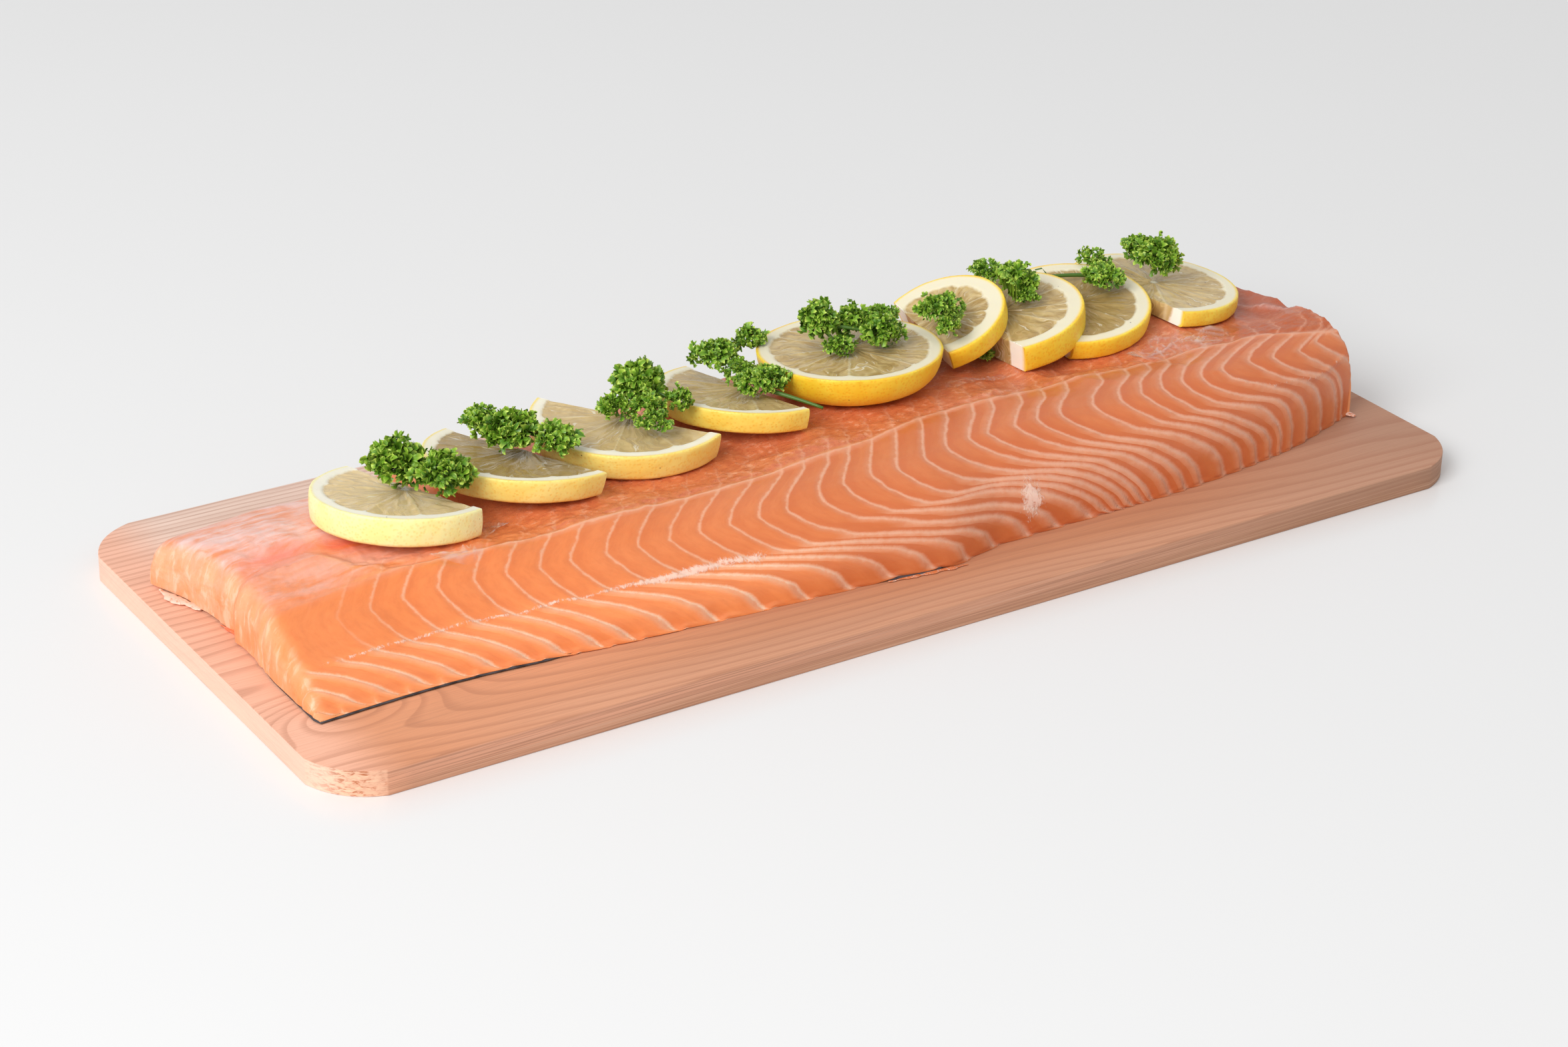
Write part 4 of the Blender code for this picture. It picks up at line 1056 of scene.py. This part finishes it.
# %% Skin
skin_x = np.linspace(FILLET_LEFT, FILLET_RIGHT - 0.5, 240)
drawn_in = (UNDERCUT + 0.2) * (1 - skin_shown(skin_x)) - 0.4 * skin_shown(skin_x)
skin_line = np.stack([skin_x, 0 * skin_x, 0 * skin_x], axis=1)
skin_near = smooth_through(NEAR_EDGE, skin_x) + drawn_in + 0.15 * ripples(skin_line, 300, 31)
skin_far = smooth_through(FAR_EDGE, skin_x) - 0.6
skin_side = np.linspace(skin_near[0], skin_far[0], 40)[1:-1]
skin_left = FILLET_LEFT + smooth_through(LEFT_END_BOW, skin_side) - (0.2 + 0.7 * ease(-12, -30, skin_side))
skin_edge = np.array([*zip(skin_x, skin_near), *zip(skin_x[::-1], skin_far[::-1]),
                      *zip(skin_left[::-1], skin_side[::-1])])
skin_out = outward_of(skin_edge)
SKIN_RINGS = [(0.15, 0), (0, 0.2), (0, 0.8), (0.15, 1)]
skin_points = np.zeros((len(skin_edge), len(SKIN_RINGS), 3))
for row, (inward, up) in enumerate(SKIN_RINGS):
    skin_points[:, row, :2] = skin_edge - skin_out * inward
    skin_points[:, row, 2] = PLANK_THICKNESS + GAP + up * SKIN_DRAWN
skin_mesh = mesh_of("skin", skin_points, stack_faces(len(skin_edge), len(SKIN_RINGS)))

skin_finish = Finish("fish skin")
scales = skin_finish.cells(skin_finish.place(0.35), 1.0)
skin_colour = scales.rise(0.2, 0.8).between((0.018, 0.018, 0.022), (0.07, 0.07, 0.08))
skin_material = skin_finish.set(Base_Color=skin_colour, Roughness=0.32, Specular_IOR_Level=0.5)
skin = set_down("skin", skin_mesh, skin_material, {}, sharp=50)
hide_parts("salmon_skin")

# %% [markdown]
# ## Lemon
#
# A slice of lemon is the same all through: peel, pith, then pulp in segments with thin walls between
# them. So the material is worked out in space from the distance to the slice's middle and the direction
# round it, and it colours the rim, the top and the straight cut alike. The mesh is a stack of rings: flat
# below, up the peel with its pores and dents, over a soft edge, and in across the top, where the pulp
# stands a little lower than the pith. One slice copied eight times would look false, so one function
# makes every piece from its row in the table, with its own random dents.

# %% Segments and rings
SEGMENTS = 9
TURNS = 170
PEEL = 1.1
CORNER_ROUNDING = 1.1
WARP = ((2, 0.10, 1.0), (3, 0.06, 2.2))
END_PROFILE = [(0, 16.5), (0.7, 22), (2.8, 26), (6, 28.4), (9.5, 29.5), (11.8, 29.8)]
BASE_SHARES = (0, 0.5, 0.9)
WALL_RINGS = 15
TOP_RINGS = 46


def warped(angle):
    """The angle that the segments are counted in: real segments are not all alike."""
    return angle + sum(size * np.sin(times * angle + start) for times, size, start in WARP)


def rim_at(spec, t):
    """Radius and height on a piece's rim, from its foot at 0 to its top at 1. The end piece is domed."""
    if "cut" not in spec:
        height = END_PROFILE[-1][0] * t ** 1.5
        return float(smooth_through(END_PROFILE, height)), height
    belly = 0.5 * math.sin(math.pi * t) ** 0.6
    rounding = 0.5 * max(0, 1 - t / 0.08) ** 2
    return spec["radius"] - spec["taper"] * (1 - t) + belly - rounding - 0.25, (spec["thick"] - 0.2) * t


def lemon_rings(spec):
    """Radius and height of each ring, from the middle of the underside to the middle of the top."""
    rings = [(share * rim_at(spec, 0)[0], 0) for share in BASE_SHARES]
    rings += [rim_at(spec, t) for t in np.linspace(0, 1, WALL_RINGS)]
    radius, height = rings[-1]
    rings += [(radius - 0.10, height + 0.12), (radius - 0.35, height + 0.2)]
    rings += [(radius * share, height + 0.2) for share in 1 - np.linspace(0.03, 1, TOP_RINGS) ** 1.15]
    return np.array(rings)


print(f"{SEGMENTS} segments, {TURNS} points round each ring")


# %% Slice mesh
def lemon_points(spec, seed):
    """The points of a whole slice in its own frame, with peel dents, sunken pulp and raised segment walls."""
    reach, height = lemon_rings(spec).T
    angle, r = np.meshgrid(np.linspace(0, 2 * math.pi, TURNS, endpoint=False), reach, indexing="ij")
    z = np.broadcast_to(height, r.shape).copy()
    spots = np.stack([r * np.cos(angle), r * np.sin(angle), z], axis=2)
    rim_ring = len(BASE_SHARES) + WALL_RINGS
    on_wall, on_top = np.zeros_like(r), np.zeros_like(r)
    on_wall[:, len(BASE_SHARES):rim_ring + 1] = 1
    on_top[:, rim_ring + 1:] = 1
    dents = 0.10 * ripples(spots, 650, seed) + 0.22 * ripples(spots, 130, seed + 1)
    share = r / spec["radius"]
    middle = np.abs(np.sin(SEGMENTS / 2 * warped(angle)))
    pulp_edge = 1 - (PEEL + spec["pith"] + CORNER_ROUNDING * (1 - middle) ** 3) / spec["radius"]
    in_pulp = ease(0.012, -0.012, share - pulp_edge) * ease(0.05, 0.09, share)
    from_wall = np.arcsin(np.clip(middle, 0, 1)) * 2 / SEGMENTS * r
    polar = np.stack([np.cos(warped(angle)) * 13, np.sin(warped(angle)) * 13, share * 5], axis=2)
    sunk = in_pulp * (-0.42 + 0.30 * bell(from_wall, 0.7) + 0.26 * ripples(polar, 1 / MM, seed + 2))
    sunk = sunk + (1 - in_pulp) * 0.10 * ripples(spots, 220, seed + 3)
    points = spots * np.stack([1 + on_wall * dents / np.maximum(r, 1)] * 2 + [np.ones_like(r)], axis=2)
    points[:, :, 2] += on_top * sunk * ease(0, 0.8, spec["radius"] - r)
    return points


def lemon_mesh(name, spec, seed):
    """One slice with its straight cut."""
    points = lemon_points(spec, seed)
    bm = bmesh.new()
    verts = [bm.verts.new(point) for point in (points.reshape(-1, 3) * MM).tolist()]
    for face in grid_faces(*points.shape[:2], ring=True):
        bm.faces.new([verts[i] for i in face])
    bmesh.ops.remove_doubles(bm, verts=bm.verts, dist=1e-6)
    if "cut" in spec:
        side = 1 if spec["keep"] == "left" else -1
        parts = [*bm.verts, *bm.edges, *bm.faces]
        bmesh.ops.bisect_plane(bm, geom=parts, plane_co=(spec["cut"] * MM, 0, 0), plane_no=(side, 0, 0),
                               clear_outer=True)
        bmesh.ops.holes_fill(bm, edges=[edge for edge in bm.edges if edge.is_boundary])
    bmesh.ops.recalc_face_normals(bm, faces=bm.faces)
    mesh = bpy.data.meshes.new(name)
    bm.to_mesh(mesh)
    bm.free()
    return mesh


def slice_matrix(spec):
    """The slice's frame: across its cut, along its cut and out of its face."""
    slope_x, slope_y = spec["slope"]
    out = Vector((-slope_x, -slope_y, 1)).normalized()
    angle = math.radians(spec.get("angle", 90))
    along = Vector((math.cos(angle), math.sin(angle), 0))
    along = (along - out * along.dot(out)).normalized()
    turn = Matrix((along.cross(out), along, out)).transposed().to_4x4()
    return Matrix.Translation(Vector(spec["at"]) * MM) @ turn


print(f"the first slice has {len(lemon_rings(LEMONS[1]))} rings")

# %% [markdown]
# ### Peel, pith and pulp
#
# Peel is waxy and dimpled with darker oil glands. Pith is dull and nearly white. Pulp is the hard one:
# thousands of clear sacs, long and thin, all pointing at the middle. Noise stretched along each radius
# gives the sacs, a low roughness makes them wet, and pale lines mark the walls between the segments. Each
# piece carries its own numbers: how thick its pith is, how pale the light makes it, and how deep and dark
# its pulp looks.

# %% Places in a slice
lemon = Finish("lemon")
sx, sy, sz = lemon.parts(lemon.attribute("spot", "Vector"))
radius_value = lemon.attribute("radius")
pale_value = lemon.attribute("pale")
depth_value = lemon.attribute("depth")
share = (sx * sx + sy * sy).work("SQRT")
angle = sy.work("ARCTAN2", sx)
bent_angle = angle
for times, size, start in WARP:
    bent_angle = bent_angle + (angle * times + start).work("SINE") * size
middle = abs((bent_angle * (SEGMENTS / 2)).work("SINE"))
from_middle = share * radius_value
from_wall = middle.work("ARCSINE") * (2 / SEGMENTS) * from_middle
pulp_reach = radius_value - (lemon.attribute("pith") + PEEL + (1 - middle) ** 3 * CORNER_ROUNDING)
spot_mm = lemon.vector(sx * radius_value, sy * radius_value, sz)
uneven = lemon.noise(spot_mm, 0.35)
inside = pulp_reach + (uneven * 1.6 - 0.8) - from_middle
is_pulp = inside.rise(-0.55, 0.65) * from_middle.rise(0.5, 1.6)
is_peel = (radius_value - from_middle).rise(1.7, 0.35)
sway_angle = bent_angle + (lemon.noise(spot_mm, 0.10, detail=2) * 0.9 - 0.45)


def round_the_middle(turns, ripple):
    """A place for noise that runs round the slice's middle, so that the noise draws out along each radius."""
    outward_way = share * ripple + radius_value * 3.1
    return lemon.vector(sway_angle.work("COSINE") * turns, sway_angle.work("SINE") * turns, outward_way)


outer_part = share.rise(0.30, 0.58)
inner_sacs = lemon.noise(round_the_middle(3.6, 3.5), rough=0.55, bent=0.5)
sac_noise = inner_sacs.toward(lemon.noise(round_the_middle(8.5, 4.5), rough=0.55, bent=0.6), outer_part)
inner_cells = lemon.cells(round_the_middle(3.2, 4.0), 0.8)
sac_cells = inner_cells.toward(lemon.cells(round_the_middle(8.0, 5.5), 0.8), outer_part)
# Pale threads along the sacs: partly the sacs' own pale walls, partly painted wet highlights.
sac_thread_and_glint = lemon.noise(round_the_middle(11.0, 3.0), 1.4, detail=2, bent=0.6).rise(0.62, 0.72)
print("distance to the middle and to the nearest wall worked out")

# %% Lemon colours
pulp = sac_noise.rise(0.32, 0.68).between((0.400, 0.250, 0.078), (0.610, 0.440, 0.180)).coats(
    ((0.79, 0.63, 0.34), sac_cells.rise(0.45, 0.85) * 0.40),
    ((0.90, 0.82, 0.62), sac_thread_and_glint * 0.40),
    ((0.86, 0.77, 0.52), from_wall.rise(0.50, 0.05) * from_middle.rise(2, 9) * 0.42),
    ((0.36, 0.235, 0.070), depth_value * 0.75),
    ((0.90, 0.69, 0.37), pale_value * (depth_value * -0.6 + 0.65)),
    # The threads again, nearly white: more painted wet highlight on the pulp.
    ((0.96, 0.91, 0.76), sac_thread_and_glint * 0.45))
pith = (pale_value * 0.7).between((0.84, 0.77, 0.56), (0.97, 0.94, 0.82))
# Painted light: the pith on the straight cuts is whiter, to lift the shade that falls on those faces.
pith = pith.toward((1.0, 0.98, 0.86), lemon.attribute("cut face").rise(0.4, 0.6))
glands = lemon.cells(spot_mm, 0.95)
cloud = lemon.noise(spot_mm, 0.11, detail=2).rise(0.3, 0.7)
peel_gold = cloud.between((0.96, 0.60, 0.022), (0.98, 0.74, 0.060))
peel_pale = cloud.between((0.99, 0.88, 0.34), (0.99, 0.93, 0.48))
gland_shade = glands.rise(0.54, 0.18) * (pale_value * -0.3 + 0.5)
peel = peel_gold.coats((peel_pale, pale_value * pale_value), ((0.94, 0.46, 0.012), gland_shade))
specks = lemon.cells(spot_mm, 0.16).rise(0.045, 0.03) * 0.9
body = pith.coats((pulp, is_pulp), (peel, is_peel), ((0.06, 0.045, 0.02), specks))
sac_height = (sac_noise * 0.9 + sac_cells * -0.6) * is_pulp
lemon_height = sac_height + glands.rise(0.10, 0.50) * is_peel * 0.10 + uneven * 0.10
lemon_material = lemon.set(Base_Color=body, Roughness=0.55 - (is_pulp * 0.35 + is_peel * 0.15),
                           Specular_IOR_Level=0.5, Normal=lemon.bump(lemon_height, 0.7, 0.6),
                           Subsurface_Weight=0.10, Subsurface_Scale=1.2 * MM,
                           Subsurface_Radius=(1.6, 1.2, 0.5))
print("lemon finish ready")

# %% Lay the nine pieces
FAR_AWAY = 1000
for number, spec in LEMONS.items():
    mesh = lemon_mesh(f"lemon {number}", spec, 20 * number)
    spots = np.array([vert.co for vert in mesh.vertices]) / MM
    on_cut = np.abs(spots[:, 0] - spec.get("cut", FAR_AWAY)) < 0.02
    rim_radius, rim_height = np.array([rim_at(spec, t) for t in np.linspace(0, 1, 40)]).T
    radius_here = np.interp(np.clip(spots[:, 2], 0, spec["thick"]), rim_height, rim_radius) + 0.15
    spots[:, :2] /= radius_here[:, None]
    lemon_values = {"cut face": on_cut, "spot": spots}
    for label in ("radius", "pith", "pale", "depth"):
        lemon_values[label] = np.full(len(spots), spec[label])
    frame_of_slice = slice_matrix(spec)
    piece = set_down(f"lemon_{number}", mesh, lemon_material, lemon_values, 50, frame_of_slice)
    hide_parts(f"lemon_slice_{number}")

# %% [markdown]
# ## Clear film
#
# A sheet of thin clear film lies between the fish and the lemon. Where it is flat it can't be seen at
# all. What shows is its creases, which catch the lamp. Glass with a front and a back would dull the flesh
# and render slowly, so the sheet is a single layer, crumpled in the mesh, and its finish is a faint
# mirror that lets nearly all light through. Along the folds it is painted whiter and more solid, as a
# painted highlight on each crease. Each crumple is a soft patch with its own reach. Inside it the sheet
# rises in flat facets, with narrow folds running between them.

# %% Crumpled sheet
FILM_STEPS = (520, 90)
CRUMPLES = [(-134, -19, 13, 5, 1.0), (-110, -12, 6, 7, 1.0), (-100, -3, 9, 5, 0.5), (-68, -2, 7, 5, 0.4),
            (10, 3, 8, 6, 0.3), (48, -4, 9, 5, 0.7), (66, -5, 11, 5, 0.7), (88, -5, 8, 5, 0.6),
            (107, -5, 9, 6, 0.6), (119, -10, 9, 11, 0.8), (130, -15, 9, 8, 0.8), (142, -20, 8, 7, 0.9),
            (152, -14, 7, 7, 0.7)]
film_x = np.linspace(FILM_NEAR[0][0], FILM_NEAR[-1][0], FILM_STEPS[0])[:, None]
film_share = np.linspace(0, 1, FILM_STEPS[1])[None, :] ** 1.5
film_line = np.concatenate([film_x, 0 * film_x, 0 * film_x], axis=1)
film_near = smooth_through(FILM_NEAR, film_x) + 1.6 * ripples(film_line, 160, 8)[:, None]
film_near = film_near - 4.5 * bell(film_x + 134, 12)
film_y = film_near + (FILM_FAR - film_near) * film_share
film_x = np.broadcast_to(film_x, film_y.shape)
flat_spots = np.stack([film_x, film_y, 0 * film_x], axis=2)
bent_spots = flat_spots + 6 * np.stack([ripples(flat_spots, 60, seed) for seed in (51, 52, 53)], axis=2)


def folds_along(stretch_x, stretch_y, scale, seed, sharp):
    """Narrow ridges that run where a soft noise crosses zero."""
    ridge = 1 - np.abs(ripples(bent_spots * (stretch_x, stretch_y, 1), scale, seed)) * sharp
    return np.clip(ridge, 0, 1) ** 2


folds = np.maximum(folds_along(0.45, 1.3, 130, 9, 5.5), folds_along(1.1, 0.5, 150, 10, 6.0) * 0.9)
folds = np.maximum(folds, folds_along(0.8, 1.0, 330, 12, 5.0) * 0.8)
facets = np.abs(ripples(bent_spots, 120, 14)) + 0.5 * np.abs(ripples(bent_spots, 280, 16))
loose = np.zeros_like(film_x)
for at_x, at_y, reach_x, reach_y, amount in CRUMPLES:
    away_from = np.hypot((film_x - at_x) / reach_x, (film_y - at_y) / reach_y)
    loose = np.maximum(loose, amount * bell(away_from, 1))
free = np.ones_like(film_x)
for spec in LEMONS.values():
    free = np.minimum(free, ease(0.3, 2, outside_slice(spec, film_x, film_y)))
crumpled = loose * (0.6 * folds + 2.6 * facets)
film_z = bed_height(film_x, film_y) - 0.30 + free * (0.05 + 0.15 * folds + crumpled)
film_points = np.stack([film_x, film_y, film_z], axis=2)
print(f"{film_points.shape[0]} by {film_points.shape[1]} points in the film")

# %% Film finish
film = Finish("clear film")
# Painted highlight: along the folds the white sheet turns nearly solid, so the creases show as bright lines.
film_alpha = film.attribute("fold") * 0.58 + (film.attribute("loose") * 0.07 + 0.02)
film_material = film.set(Base_Color=(0.97, 0.97, 0.97), Metallic=0.45, Roughness=0.12, Alpha=film_alpha)
film_values = {"loose": (loose * free).ravel(), "fold": (folds * loose * free).ravel()}
film_mesh = mesh_of("film", film_points, grid_faces(*FILM_STEPS))
film_piece = set_down("film", film_mesh, film_material, film_values)
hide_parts("clear_film")

# %% [markdown]
# ## Curly parsley
#
# A tuft of curly parsley is a crowd of small leaf fans, each on its own stalk and each with a frilled,
# toothed rim. One fan is a bent grid: it spreads from its stalk, its rim is scalloped into lobes, and
# waves that grow toward the rim throw it into folds. Hundreds of them, pushed out of a clump in every
# direction, make the curly mass. Copies of one sprig would be quicker, but the clumps differ too much in
# size and shape. Bright rims over dark insides give it its depth, and both are painted: painted light on
# the outer rims and painted shade deep in the clump. So each point remembers how near the rim it is and
# how far out its fan sits.

# %% Clumps and stalks
SPRIGS = {
    1: [(-132.4, 13.5, 44.5, 9.9, 9.5, 9.9), (-123.2, 2.4, 43.4, 11, 9, 8)],
    2: [(-94.1, 31, 42.5, 7, 8.5, 6), (-92.1, 17.2, 43.6, 9.7, 9, 8.5), (-82.6, 7, 42.8, 8.5, 8.5, 6.6)],
    3: [(-45.5, 20.6, 47.5, 9.5, 9, 9.7), (-57.4, 15.1, 44.8, 6, 6, 6), (-51.3, 2.4, 43.4, 7, 6, 5),
        (-38, 9.1, 44.6, 5, 5, 6), (-48.5, 10.5, 45, 7, 6.5, 6)],
    4: [(-8.8, 34.7, 44.2, 9, 8, 6.5), (-7.9, 10.1, 44, 11.5, 8, 6), (5.6, 37.5, 45.2, 6.5, 6, 6),
        (-7, 23, 43, 7, 9, 4.5)],
    5: [(21.7, 22.1, 52.9, 7.7, 7.5, 9), (33.7, 20, 51.5, 7.5, 6.5, 7.6), (36.9, 10.6, 51, 7.6, 7, 7),
        (49, 27, 48.5, 8, 6, 4.5), (43, 12, 48.5, 7, 6, 5), (23, 12.5, 48.5, 6, 5, 5)],
    6: [(62.4, 12.4, 53, 9.5, 8, 6), (59.5, 4.6, 50, 5, 5, 5.2), (78.4, 8.4, 35.6, 3.2, 3, 2.4)],
    7: [(97.5, 19, 52.5, 7.5, 8, 8.5), (97.5, 35, 51, 6, 8, 4.5), (96, 13, 50.5, 6.5, 5.5, 4.5)],
    8: [(128.6, 13.8, 49.6, 8.8, 8, 6), (138.5, 31, 48.4, 6, 8.5, 4)],
    9: [(154.9, 16.3, 50, 8.4, 8, 9), (158, 31, 47.5, 6.4, 8.5, 6)],
}
LONG_STALKS = {
    4: ((-7, 8, 42.6), (-1, -1, 41.6), (3.4, -8.6, 40.4)),
    8: ((131, 22, 47.5), (122, 27, 48), (113, 30, 47.3)),
}
ON_THE_LEMON = 40
FAN_ACROSS = 23
FAN_OUT = 4
FANS_PER_AREA = 2.3
STALK_RINGS = 9
STALK_SIDES = 8


def lemon_top(x, y, z):
    """The height of the lemon under a point, or of the bed for a point with no lemon below it."""
    height = bed_height(x, y)
    for spec in LEMONS.values():
        above = slice_plane(spec, x, y) + spec["thick"] * math.hypot(1, *spec["slope"])
        over = (outside_slice(spec, x, y) < 0.3) & (z > slice_plane(spec, x, y))
        height = np.where(over, np.maximum(height, above), height)
    return height


print(sum(len(clumps) for clumps in SPRIGS.values()), "clumps of parsley")


# %% Leaf fans
def leaf_fans(clump, random):
    """All fans of one clump: points, a rim value for painted light and shade (how near the rim each point is,
    and how far out its fan sits), and a random shade of green for each fan.
    """
    centre, half = np.array(clump[:3]), np.array(clump[3:])
    count = int(FANS_PER_AREA * (half[0] * half[1] + half[1] * half[2] + half[0] * half[2]) / 3)
    each = (count, 1, 1)
    out = random.normal(size=(count, 3))
    out[:, 2] = np.where(out[:, 2] < -0.35, -0.5 * out[:, 2], out[:, 2])
    out = unit(out)
    size = np.clip(random.uniform(0.25, 0.44, count) * half.min(), 1.7, 3.5)
    depth = random.uniform(0, 1, count) ** 0.7
    stray = 1 + 0.22 * (random.uniform(0, 1, (count, 1)) < 0.14)
    base = centre + out * (half - size[:, None] * 0.9).clip(0) * (0.25 + 0.75 * depth[:, None]) * stray
    grow = unit(out + random.normal(size=(count, 3)) * 0.35)
    side = unit(np.cross(grow, random.normal(size=(count, 3))))
    face = np.cross(side, grow)
    u = np.linspace(-1, 1, FAN_ACROSS)[None, :, None]
    v = np.linspace(0.06, 1, FAN_OUT)[None, None, :]
    shift = random.uniform(0, 2 * math.pi, each)
    other = random.uniform(0, 2 * math.pi, each)
    width = random.uniform(1.1, 1.7, each)
    turn = random.uniform(2.4, 3.8, each) * math.pi * u
    lobes = np.abs(np.cos(3.5 * math.pi * u + other)) ** 0.8
    teeth = 1 + 0.12 * v * np.cos(turn + shift) - 0.30 * v ** 2 * (1 - lobes)
    reach = v * teeth * (1 - 0.22 * u * u)
    folds = 0.27 * v ** 1.5 * np.sin(turn + other) - 0.10 * v ** 2 * lobes
    curl = random.uniform(-0.55, 0.75, each) * v ** 2.5
    amounts = (reach * np.sin(u * width), reach * np.cos(u * width) - 0.25 * np.abs(curl) * v,
               folds + curl * (1 - 0.5 * u * u))
    points = base[:, None, None, :]
    for arrow, amount in zip((side, grow, face), amounts):
        points = points + arrow[:, None, None, :] * (size[:, None, None] * amount)[..., None]
    offset = points - centre
    beyond = np.linalg.norm(offset / (half * (1.10 * stray[:, None, None, :])), axis=3)
    points = centre + offset / np.maximum(beyond, 1)[..., None]
    # The rim value grows toward each fan's rim and with how far out the fan sits: it carries painted light on
    # the outer rims and painted shade inside the clump.
    rim = v ** 1.5 * (0.45 + 0.55 * depth[:, None, None]) * (0.85 + 0.3 * np.sin(turn + other))
    shade = np.broadcast_to(random.uniform(0, 1, each), rim.shape)
    return points.reshape(-1, 3), rim.ravel(), shade.ravel()


print(f"each fan has {(FAN_ACROSS - 1) * (FAN_OUT - 1)} faces")


# %% Stalks
def stalk_points(start, bend, end):
    """A round stalk, thinner toward its end, along a bent line."""
    t = np.linspace(0, 1, STALK_RINGS)[:, None]
    spine = start * (1 - t) ** 2 + 2 * bend * t * (1 - t) + end * t * t
    ahead = unit(np.gradient(spine, axis=0))
    first = unit(np.cross(ahead, (0.3, 0.2, 1)))
    second = np.cross(ahead, first)
    turn = np.linspace(0, 2 * math.pi, STALK_SIDES, endpoint=False)[None, :, None]
    round_it = np.cos(turn) * first[:, None] + np.sin(turn) * second[:, None]
    return (spine[:, None] + round_it * np.linspace(0.75, 0.5, STALK_RINGS)[:, None, None]).reshape(-1, 3)


print(f"each stalk is a hose of {STALK_RINGS} rings")

# %% Parsley finish
parsley = Finish("curly parsley")
rim_light_and_shade = parsley.attribute("rim")
# Painted light on the outer rims and painted shade in the clump's insides, both read from the rim value.
leaf = parsley.attribute("shade").between((0.085, 0.225, 0.014), (0.235, 0.430, 0.030)).coats(
    ((0.600, 0.760, 0.120), rim_light_and_shade.rise(0.45, 1.05)),
    ((0.040, 0.125, 0.006), rim_light_and_shade.rise(0.34, 0)),
    ((0.30, 0.50, 0.06), parsley.noise(0.8).rise(0.55, 0.75) * 0.35),
    # The stalks are dark green: their own green darkened as painted shade.
    ((0.075, 0.165, 0.022), parsley.attribute("stalk")))
parsley_material = parsley.set(Base_Color=leaf, Roughness=0.38, Specular_IOR_Level=0.4)
print("parsley finish ready")

# %% Grow the sprigs
fan_faces = np.array(grid_faces(FAN_ACROSS, FAN_OUT))
for number, clumps in SPRIGS.items():
    random = np.random.default_rng(40 + number)
    fans = [leaf_fans(clump, random) for clump in clumps]
    leaves, rims, shades = (np.concatenate(kind) for kind in zip(*fans))
    fan_starts = np.arange(0, len(leaves), FAN_ACROSS * FAN_OUT)
    faces = (fan_starts[:, None, None] + fan_faces).reshape(-1, 4).tolist()
    centres = np.array([clump[:3] for clump in clumps])
    tips = [centre for centre in centres[1:] if centre[2] > ON_THE_LEMON]
    stalks = [(centres[0], (centres[0] + tip) / 2 + (0, 0, 1.2), tip) for tip in tips]
    if number in LONG_STALKS:
        stalks.append(np.array(LONG_STALKS[number]))
    points = leaves
    for start, bend, end in stalks:
        faces += shifted(hose_faces(STALK_RINGS, STALK_SIDES), len(points))
        points = np.concatenate([points, stalk_points(start, bend, end)])
    floor = lemon_top(*points.T) + 0.25
    lifted = floor + 0.12 * np.clip(points[:, 2] - floor + 6, 0, None)
    points[:, 2] = np.where(points[:, 2] < floor, lifted, points[:, 2])
    no_leaf = np.zeros(len(points) - len(leaves))
    parsley_values = {"rim": np.concatenate([rims, no_leaf]), "shade": np.concatenate([shades, no_leaf]),
                      "stalk": np.concatenate([0 * rims, no_leaf + 1])}
    name = f"parsley_sprig_{number}"
    piece = set_down(name, mesh_of(name, points, faces), parsley_material, parsley_values)
    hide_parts(f"parsley_{number}")
